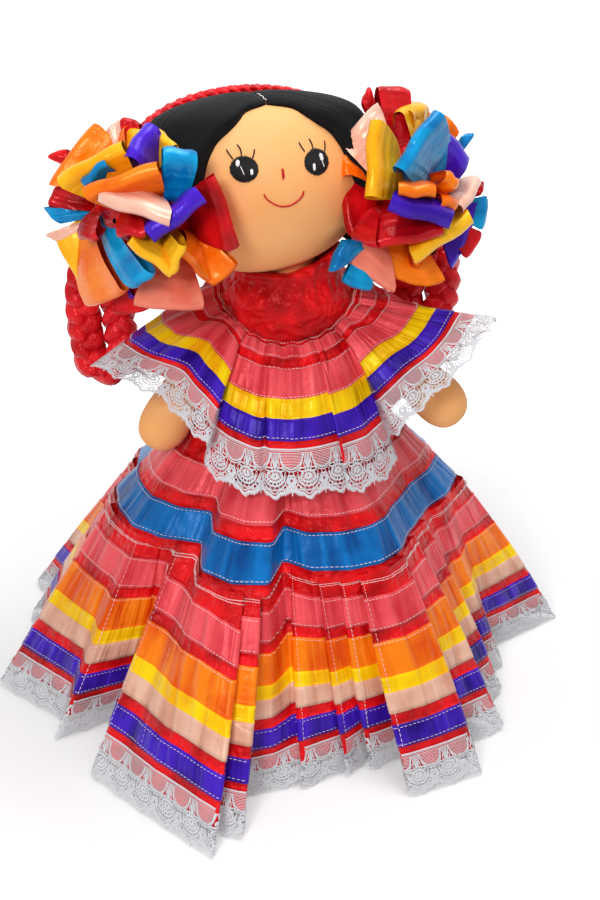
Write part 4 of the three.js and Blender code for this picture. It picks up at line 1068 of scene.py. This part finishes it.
# The ribbons keep their distance from the edge, and the gathers at the neck take up the rest.
flounce_length, neck_band = 112.0, 27.0
flounce_satin_drop, flounce_flare, lace_top = 94.0, 0.72, 83.0
flounce_v = np.linspace(0, flounce_length, 60)
usual = np.clip(flounce_slant / flounce_length, 0.84, 1.12)
kept = 1 - (flounce_length - flounce_v[:, None]) * usual[None] / flounce_slant[None]
at_band = 1 - (flounce_length - neck_band) * usual / flounce_slant
even = np.where(flounce_v[:, None] < neck_band, at_band[None] * flounce_v[:, None] / neck_band,
                kept)
rows = np.clip(even * 51, 0, 50.999)
low = rows.astype(int)
rest = (rows - low)[..., None]
column = np.arange(len(flounce_turn))[None]
spread = flounce[low, column] * (1 - rest) + flounce[low + 1, column] * rest
flounce_bands = [(0, 5, 0), (5, 19, 1), (19, 27, 0), (27, 51, 1), (51, 64.5, 2), (64.5, 78.5, 3),
                 (78.5, flounce_satin_drop, 0)]
front_column = int(np.argmin(np.abs(flounce_turn)))
for side, part in (("left", slice(front_column, None)), ("right", slice(None, front_column + 1))):
    cloth = cloth_of(spread[:, part], flounce_v, closed=False)
    length = float(cloth["u"][-1])
    half = ribboned(side + "_flounce", cloth, flounce_bands,
                    [red_satin, coral_ribbon, yellow_ribbon, purple_ribbon], cloth["u"],
                    closed=False)
    edging = laced(side + "_flounce_lace", cloth, lace_top, 0.0, length, 0.75, squeeze=0.95)
    stitching = running_stitches(side + "_flounce_stitching", cloth,
                                 [1.0, 2.4, 6.4, 17.6, 28.4, 49.8, 76.6],
                                 seam_thread, seed=12)
    for piece in (half, edging, stitching):
        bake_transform(piece)
    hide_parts("flounce")
    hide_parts("flounce_lace")


# Plaits. Three strands of folded red satin plaited together: one lies over the crown behind the
# hair, and one hangs behind each ear, doubled back up to its tie. Each is its own mesh.
plait_satin = satin("bright red plait satin", "#ea1c26", "#bd0c14", crinkle=0.45, crinkle_size=7.0,
                    roughness=0.25, shine=0.7)


def evenly_spaced(points, spacing):
    """A smooth curve through the points, sampled at even steps."""
    curve = smooth_curve(points, 400)
    length = np.concatenate([[0], np.cumsum(np.linalg.norm(np.diff(curve, axis=0), axis=1))])
    place = np.linspace(0, length[-1], int(length[-1] / spacing))
    return np.stack([np.interp(place, length, curve[:, i]) for i in range(3)], axis=1), place


def plaited(name, points, across, depth, sway, thickness, strand, pitch, section=18, seed=1):
    """Three strands plaited along a path. Of the axes across and depth one is given."""
    path, place = evenly_spaced(points, 1.4)
    ahead = unit(np.gradient(path, axis=0))
    if across is None:
        across = unit(np.cross(np.broadcast_to(depth, path.shape), ahead))
    else:
        across = np.broadcast_to(across, path.shape)
    deep = unit(np.cross(ahead, across))
    count = len(path)
    turn = np.linspace(0, 2 * math.pi, section, endpoint=False)[None]
    skins, faces, flats = [], [], []
    for number in range(3):
        phase = 2 * math.pi * (place / pitch + number / 3)
        centre = path + across * (sway * np.sin(phase))[:, None]
        centre = centre + deep * (thickness * np.sin(2 * phase))[:, None]
        along = unit(np.gradient(centre, axis=0))
        broad = unit(np.cross(np.cross(along, across), along))
        flat_way = unit(np.cross(along, broad))
        ends = np.clip(np.minimum(np.arange(count), np.arange(count)[::-1]) / 4, 0.25, 1)[:, None]
        creases = 1 + 0.09 * np.sin(3 * turn + place[:, None] / 6 + number * 2 + seed)
        creases = creases + 0.06 * np.sin(7 * turn - place[:, None] / 3.7 + number)
        half_width, half_depth = strand[0] * ends * creases, strand[1] * ends * creases
        skin = (centre[:, None] + broad[:, None] * (half_width * np.cos(turn))[..., None]
                - flat_way[:, None] * (half_depth * np.sin(turn))[..., None])
        start = number * count * section
        faces += grid_faces(count, section, closed=True, start=start)
        faces.append([start + i for i in range(section)][::-1])
        faces.append([start + (count - 1) * section + i for i in range(section)])
        skins.append(skin.reshape(-1, 3))
        flats.append(np.stack(np.broadcast_arrays(place[:, None], turn * strand[0]),
                              axis=-1).reshape(-1, 2))
    return as_object(name, np.concatenate(skins), faces, [plait_satin], flat=np.concatenate(flats))


crown_turn = np.radians(np.linspace(-66, 66, 17))
crown_path = np.stack([84.0 * np.sin(crown_turn), np.full(17, 38.0),
                       56.0 * np.cos(crown_turn) ** 0.8], axis=1)
crown = plaited("crown_satin_plait", from_head(crown_path), head_turn[:, 1], None, sway=3.4,
                thickness=1.7,
                strand=(3.3, 2.4), pitch=24.0, section=14, seed=3)
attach(crown, "head")
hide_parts("crown_plait")

plait_back, tie_height = 45.0, 342.0
for name, tie, middle, bottom in (("left_plait", 35.0, 99.0, 249.5),
                                  ("right_plait", -73.0, -137.0, 216.5)):
    drop = tie_height - bottom
    leaning = tie + (middle - tie) * 0.6
    runs = []
    for side in (-1, 1):
        runs.append([(tie + side * 3, plait_back, tie_height),
                     (leaning + side * 9.5, plait_back, tie_height - 0.12 * drop),
                     (middle + side * 12.4, plait_back, tie_height - 0.42 * drop),
                     (middle + side * 12.4, plait_back, bottom + 16.0),
                     (middle + side * 7.6, plait_back, bottom + 3.5)])
    path = runs[0] + [(middle, plait_back, bottom)] + runs[1][::-1]
    doubled = plaited(name + "_of_satin", path, None, (0, 1, 0), sway=6.2, thickness=3.4,
                      strand=(6.6, 4.6),
                      pitch=41.0, seed=len(name))
    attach(doubled, name)
    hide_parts(name)


# Pompons. A big bow of many satin loops over each ear: every loop is ribbon about 45 mm wide,
# folded
# back on itself and pinched at the middle with thread. Each colour of a pompon is its own mesh.
pompon_finishes = {
    colour: satin(name, light, deep, crinkle=crinkle, roughness=0.24, shine=0.85, crease_depth_and_shade=0.3)
    for colour, name, light, deep, crinkle in (
        ("orange", "orange pompon ribbon", "#ff8410", "#f05c00", 0.2),
        ("gold", "gold pompon ribbon", "#ffc020", "#f8a300", 0.2),
        ("red", "dark red pompon ribbon", "#d80f1a", "#960508", 0.25),
        ("peach", "pale peach pompon ribbon", "#fac8b2", "#efaa90", 0.2),
        ("salmon", "salmon pompon ribbon", "#fa8d74", "#e8664e", 0.2),
        ("turquoise", "turquoise pompon ribbon", "#06a4de", "#036cae", 0.2),
        ("purple", "violet pompon ribbon", "#4a1fc8", "#300692", 0.2))}
# Each loop: its colour, the two ends of its outer edge and the place where it is pinched, in
# millimetres in the head's own frame, and how far it is rounded at its tip.
pompon_loops = {
    "right_pompon": [
        ("orange", (-145, -15, 11), (-112, -17, 47), (-98, -24, 16), 9),
        ("gold", (-142, -43, 17), (-103, -64, 36), (-98, -37, 4), 10),
        ("red", (-142, -4, 28), (-130, -9, 32), (-120, -13, 18), 6),
        ("peach", (-104, -20, 42), (-94, -26, 49), (-94, -26, 20), 6),
        ("red", (-94, -26, 50), (-83, -32, 46), (-89, -29, 20), 8),
        ("purple", (-100, -68, 29), (-82, -54, 47), (-75, -37, 10), 11),
        ("gold", (-78, -41, 44), (-69, -64, 33), (-76, -36, 15), 7),
        ("turquoise", (-79, -79, 32), (-58, -79, 27), (-72, -50, -10), 14),
        ("orange", (-130, -67, 10), (-86, -85, 23), (-87, -51, -2), 9),
        ("turquoise", (-128, -52, 13), (-114, -63, 26), (-94, -27, 9), 6),
        ("peach", (-121, -71, 5), (-83, -98, -10), (-89, -45, 5), 10),
        ("purple", (-61, -95, 3), (-95, -91, -19), (-73, -51, -12), 12),
        ("red", (-48, -78, 12), (-35, -73, -35), (-63, -49, -14), 12),
        ("orange", (-75, -89, -33), (-50, -59, -61), (-60, -48, -26), 6),
        ("orange", (-51, -63, -60), (-36, -71, -47), (-59, -51, -25), 7),
        ("salmon", (-103, -52, -69), (-59, -57, -76), (-73, -42, -36), 9),
        ("gold", (-107, -83, -23), (-83, -89, -45), (-85, -52, -20), 7),
        ("gold", (-83, -89, -45), (-76, -96, -27), (-79, -53, -20), 6),
        ("turquoise", (-106, -70, -54), (-94, -84, -44), (-112, -19, -9), 11),
        ("orange", (-126, -21, -72), (-107, -62, -57), (-125, -14, -20), 9),
        ("gold", (-143, -7, -27), (-126, -20, -67), (-116, -18, -20), 6),
        ("peach", (-149, -4, -23), (-141, -8, -28), (-117, -17, -15), 8),
        ("turquoise", (-148, -3, -5), (-140, -7, -16), (-117, -17, -10), 8),
        ("red", (-145, -4, -4), (-138, -6, 9), (-116, -17, -6), 7),
        ("red", (-113, -77, -17), (-97, -88, -18), (-97, -46, -8), 7),
        ("red", (-133, -46, -21), (-123, -62, -21), (-111, -19, -6), 7),
        ("purple", (-104, -30, -68), (-99, -40, -65), (-100, -28, -39), 5),
        ("red", (-112, -29, -77), (-91, -39, -75), (-97, -30, -39), 6),
    ],
    "left_pompon": [
        ("red", (78, -27, 55), (100, -29, 52), (82, -46, -3), 13),
        ("red", (66, -30, 46), (72, -30, 56), (75, -29, 31), 6),
        ("peach", (46, -45, 23), (69, -52, 47), (77, -54, -5), 9),
        ("gold", (55, -82, 38), (46, -94, -8), (84, -55, -7), 9),
        ("orange", (44, -46, 15), (43, -54, 2), (71, -39, -10), 9),
        ("red", (42, -43, -4), (43, -56, -38), (74, -38, -18), 8),
        ("red", (44, -56, -39), (53, -83, -43), (73, -34, -20), 7),
        ("red", (56, -77, -44), (98, -89, -39), (79, -38, -20), 8),
        ("turquoise", (41, -43, -43), (30, -46, -62), (59, -39, -50), 9),
        ("turquoise", (41, -42, -72), (60, -44, -80), (60, -36, -52), 7),
        ("salmon", (46, -40, -59), (76, -46, -83), (69, -34, -37), 9),
        ("orange", (70, -40, -69), (97, -44, -81), (87, -34, -41), 7),
        ("orange", (98, -44, -81), (114, -46, -79), (91, -35, -41), 7),
        ("gold", (122, -79, -33), (78, -83, -54), (109, -37, -36), 10),
        ("purple", (143, -44, -30), (121, -46, -71), (119, -39, -38), 10),
        ("turquoise", (149, -45, -24), (144, -47, -46), (129, -40, -31), 8),
        ("red", (143, -47, -49), (131, -47, -65), (120, -40, -42), 7),
        ("peach", (141, -52, -11), (116, -80, -25), (118, -37, -22), 8),
        ("red", (147, -43, -13), (145, -43, -22), (129, -39, -23), 6),
        ("orange", (101, -92, 0), (111, -88, -8), (84, -51, -15), 9),
        ("orange", (110, -87, -22), (97, -93, -17), (83, -50, -16), 9),
        ("orange", (65, -97, -7), (90, -98, -10), (90, -53, -10), 8),
        ("purple", (58, -98, -15), (100, -97, -30), (97, -53, -18), 12),
        ("turquoise", (67, -92, 8), (100, -79, 40), (109, -45, -14), 10),
        ("purple", (112, -68, 23), (129, -61, 4), (118, -35, -12), 12),
        ("turquoise", (135, -37, 19), (143, -39, 19), (125, -36, 0), 7),
        ("gold", (93, -47, 40), (111, -31, 42), (98, -30, 11), 9),
        ("orange", (123, -33, 34), (133, -36, 22), (115, -33, 6), 8),
    ],
}
# Round the back of each pompon more loops lean against the hair: degrees round the way it faces,
# distance from its middle, height, colour.
back_loops = [
    (-96, 55, 2, "red"), (-72, 56, 0, "turquoise"), (-48, 57, 2, "orange"), (-24, 57, 0, "gold"),
    (0, 58, 2, "purple"), (24, 57, 0, "red"), (48, 57, 2, "peach"), (72, 56, 0, "orange"),
    (96, 55, 2, "gold"), (-60, 36, 8, "peach"), (-20, 37, 9, "red"), (20, 37, 8, "orange"),
    (60, 36, 9, "turquoise"), (120, 30, 5, "red"), (165, 30, 6, "red"), (210, 30, 5, "orange"),
    (250, 30, 6, "red")]
pompon_centres = {"left_pompon": (1, (98.0, -32.0, -13.0)),
                  "right_pompon": (-1, (-87.0, -32.0, -13.0))}
# A loop is pinched at its root, so it shows about six tenths of its ribbon.
pompon_faces, ribbon_across, ribbon_width, pinched_share = 55.0, 9, 45.0, 0.6


def loop_outline(length, radius):
    """A hollow loop seen from its side: out from the tie, round the tip and back."""
    out = np.linspace(0, 1, 12)[:-1]
    bow = 0.06 * length * np.sin(math.pi * out)
    away = np.stack([out * (length - radius), radius * out**0.7 + bow], axis=1)
    turn = np.radians(np.linspace(90, -90, 11))
    tip = np.stack([length - radius + radius * np.cos(turn), radius * np.sin(turn)], axis=1)
    return np.vstack([away, tip, away[::-1] * [1, -1]])


def ribbon_loop(first, second, pinch, bulge, seed):
    """Points of one loop and where they lie on its flat ribbon, by place along it and across it."""
    first, second, pinch = (np.asarray(p, dtype=float) for p in (first, second, pinch))
    middle = (first + second) / 2
    reach = middle - pinch
    length = float(np.linalg.norm(reach))
    forward, edge = reach / length, second - first
    upward = unit(np.cross(edge, forward))
    line = loop_outline(length, min(bulge / 2, length / 3))
    share = np.clip(line[:, 0] / length, 0, 1)
    across = np.linspace(-0.5, 0.5, ribbon_across)
    width = 0.42 + 0.58 * np.clip(share * 1.15, 0, 1) ** 0.8
    wander = 0.9 * np.sin(across * 9 + seed)[None] * share[:, None]
    fold = 5.5 * (1 - share[:, None]) ** 2 * (np.abs(2 * across) - 0.5)[None]
    corner = -1.6 * np.abs(2 * across)[None] ** 4 * share[:, None] ** 3
    points = (pinch + forward * (line[:, :1] + corner)[..., None]
              + edge * (width[:, None] * across[None])[..., None]
              + upward * (line[:, 1:] + fold + wander)[..., None])
    steps = np.concatenate([[0], np.cumsum(np.linalg.norm(np.diff(line, axis=0), axis=1))])
    flat = np.stack(np.broadcast_arrays(steps[:, None], across[None] * np.linalg.norm(edge)),
                    axis=-1)
    return points, flat


for name, (side, centre) in pompon_centres.items():
    facing = np.array([side * math.sin(math.radians(pompon_faces)),
                       -math.cos(math.radians(pompon_faces)), 0])
    aside = np.cross(facing, (0, 0, -side))
    loops = list(pompon_loops[name])
    for turn, reach, rise, colour in back_loops:
        way = aside * math.cos(math.radians(turn)) + np.array([0, 0,
                                                               1.0]) * math.sin(math.radians(turn))
        edge = np.cross(facing, way) * 0.36 * ribbon_width
        tip = np.asarray(centre) + way * reach + facing * rise
        loops.append((colour, tip - edge + facing * 3, tip + edge - facing * 3,
                      np.asarray(centre) + way * 9 + facing * (4 + rise / 3), 9))
    # A knot of wound ribbon fills the middle, where the loops are pinched.
    knot_turn, knot_tilt = np.meshgrid(np.linspace(0, 2 * math.pi, 48, endpoint=False),
                                       np.linspace(0.05, 2.2, 24))
    knot = np.stack([np.sin(knot_tilt) * np.cos(knot_turn), -np.sin(knot_tilt) * np.sin(knot_turn),
                     np.cos(knot_tilt)], axis=-1)
    upright_way = np.array([0, 0, 1.0])
    knot_axes = np.stack([np.cross(upright_way, facing), upright_way, facing])
    knot = knot * (1 + 0.12
                   * noise_at(knot * 30, 9.0, 81 + side))[..., None] * [33, 33, 25] @ knot_axes
    wound = as_object(name + "_knot", from_head(knot + np.asarray(centre)).reshape(-1, 3),
                      grid_faces(24, 48, closed=True), [pompon_finishes["red"]],
                      flat=np.stack([knot_turn * 30, knot_tilt * 30], axis=-1).reshape(-1, 2))
    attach(wound, "head")
    made_of = {}
    for number, (colour, first, second, pinch, bulge) in enumerate(loops):
        made_of.setdefault(colour, []).append(ribbon_loop(first, second, pinch, bulge, number))
    for colour, parts in made_of.items():
        points, flats, faces, start, area = [], [], [], 0, 0.0
        for loop, flat in parts:
            rows = len(loop)
            faces += grid_faces(rows, ribbon_across, start=start)
            start += rows * ribbon_across
            points.append(loop.reshape(-1, 3))
            flats.append(flat.reshape(-1, 2))
            area += float(flat[-1, 0, 0])
        ribbon = as_object(f"{name}_{colour}_loops", from_head(np.concatenate(points)), faces,
                           [pompon_finishes[colour]], flat=np.concatenate(flats))
        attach(ribbon, "head")
    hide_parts(name)
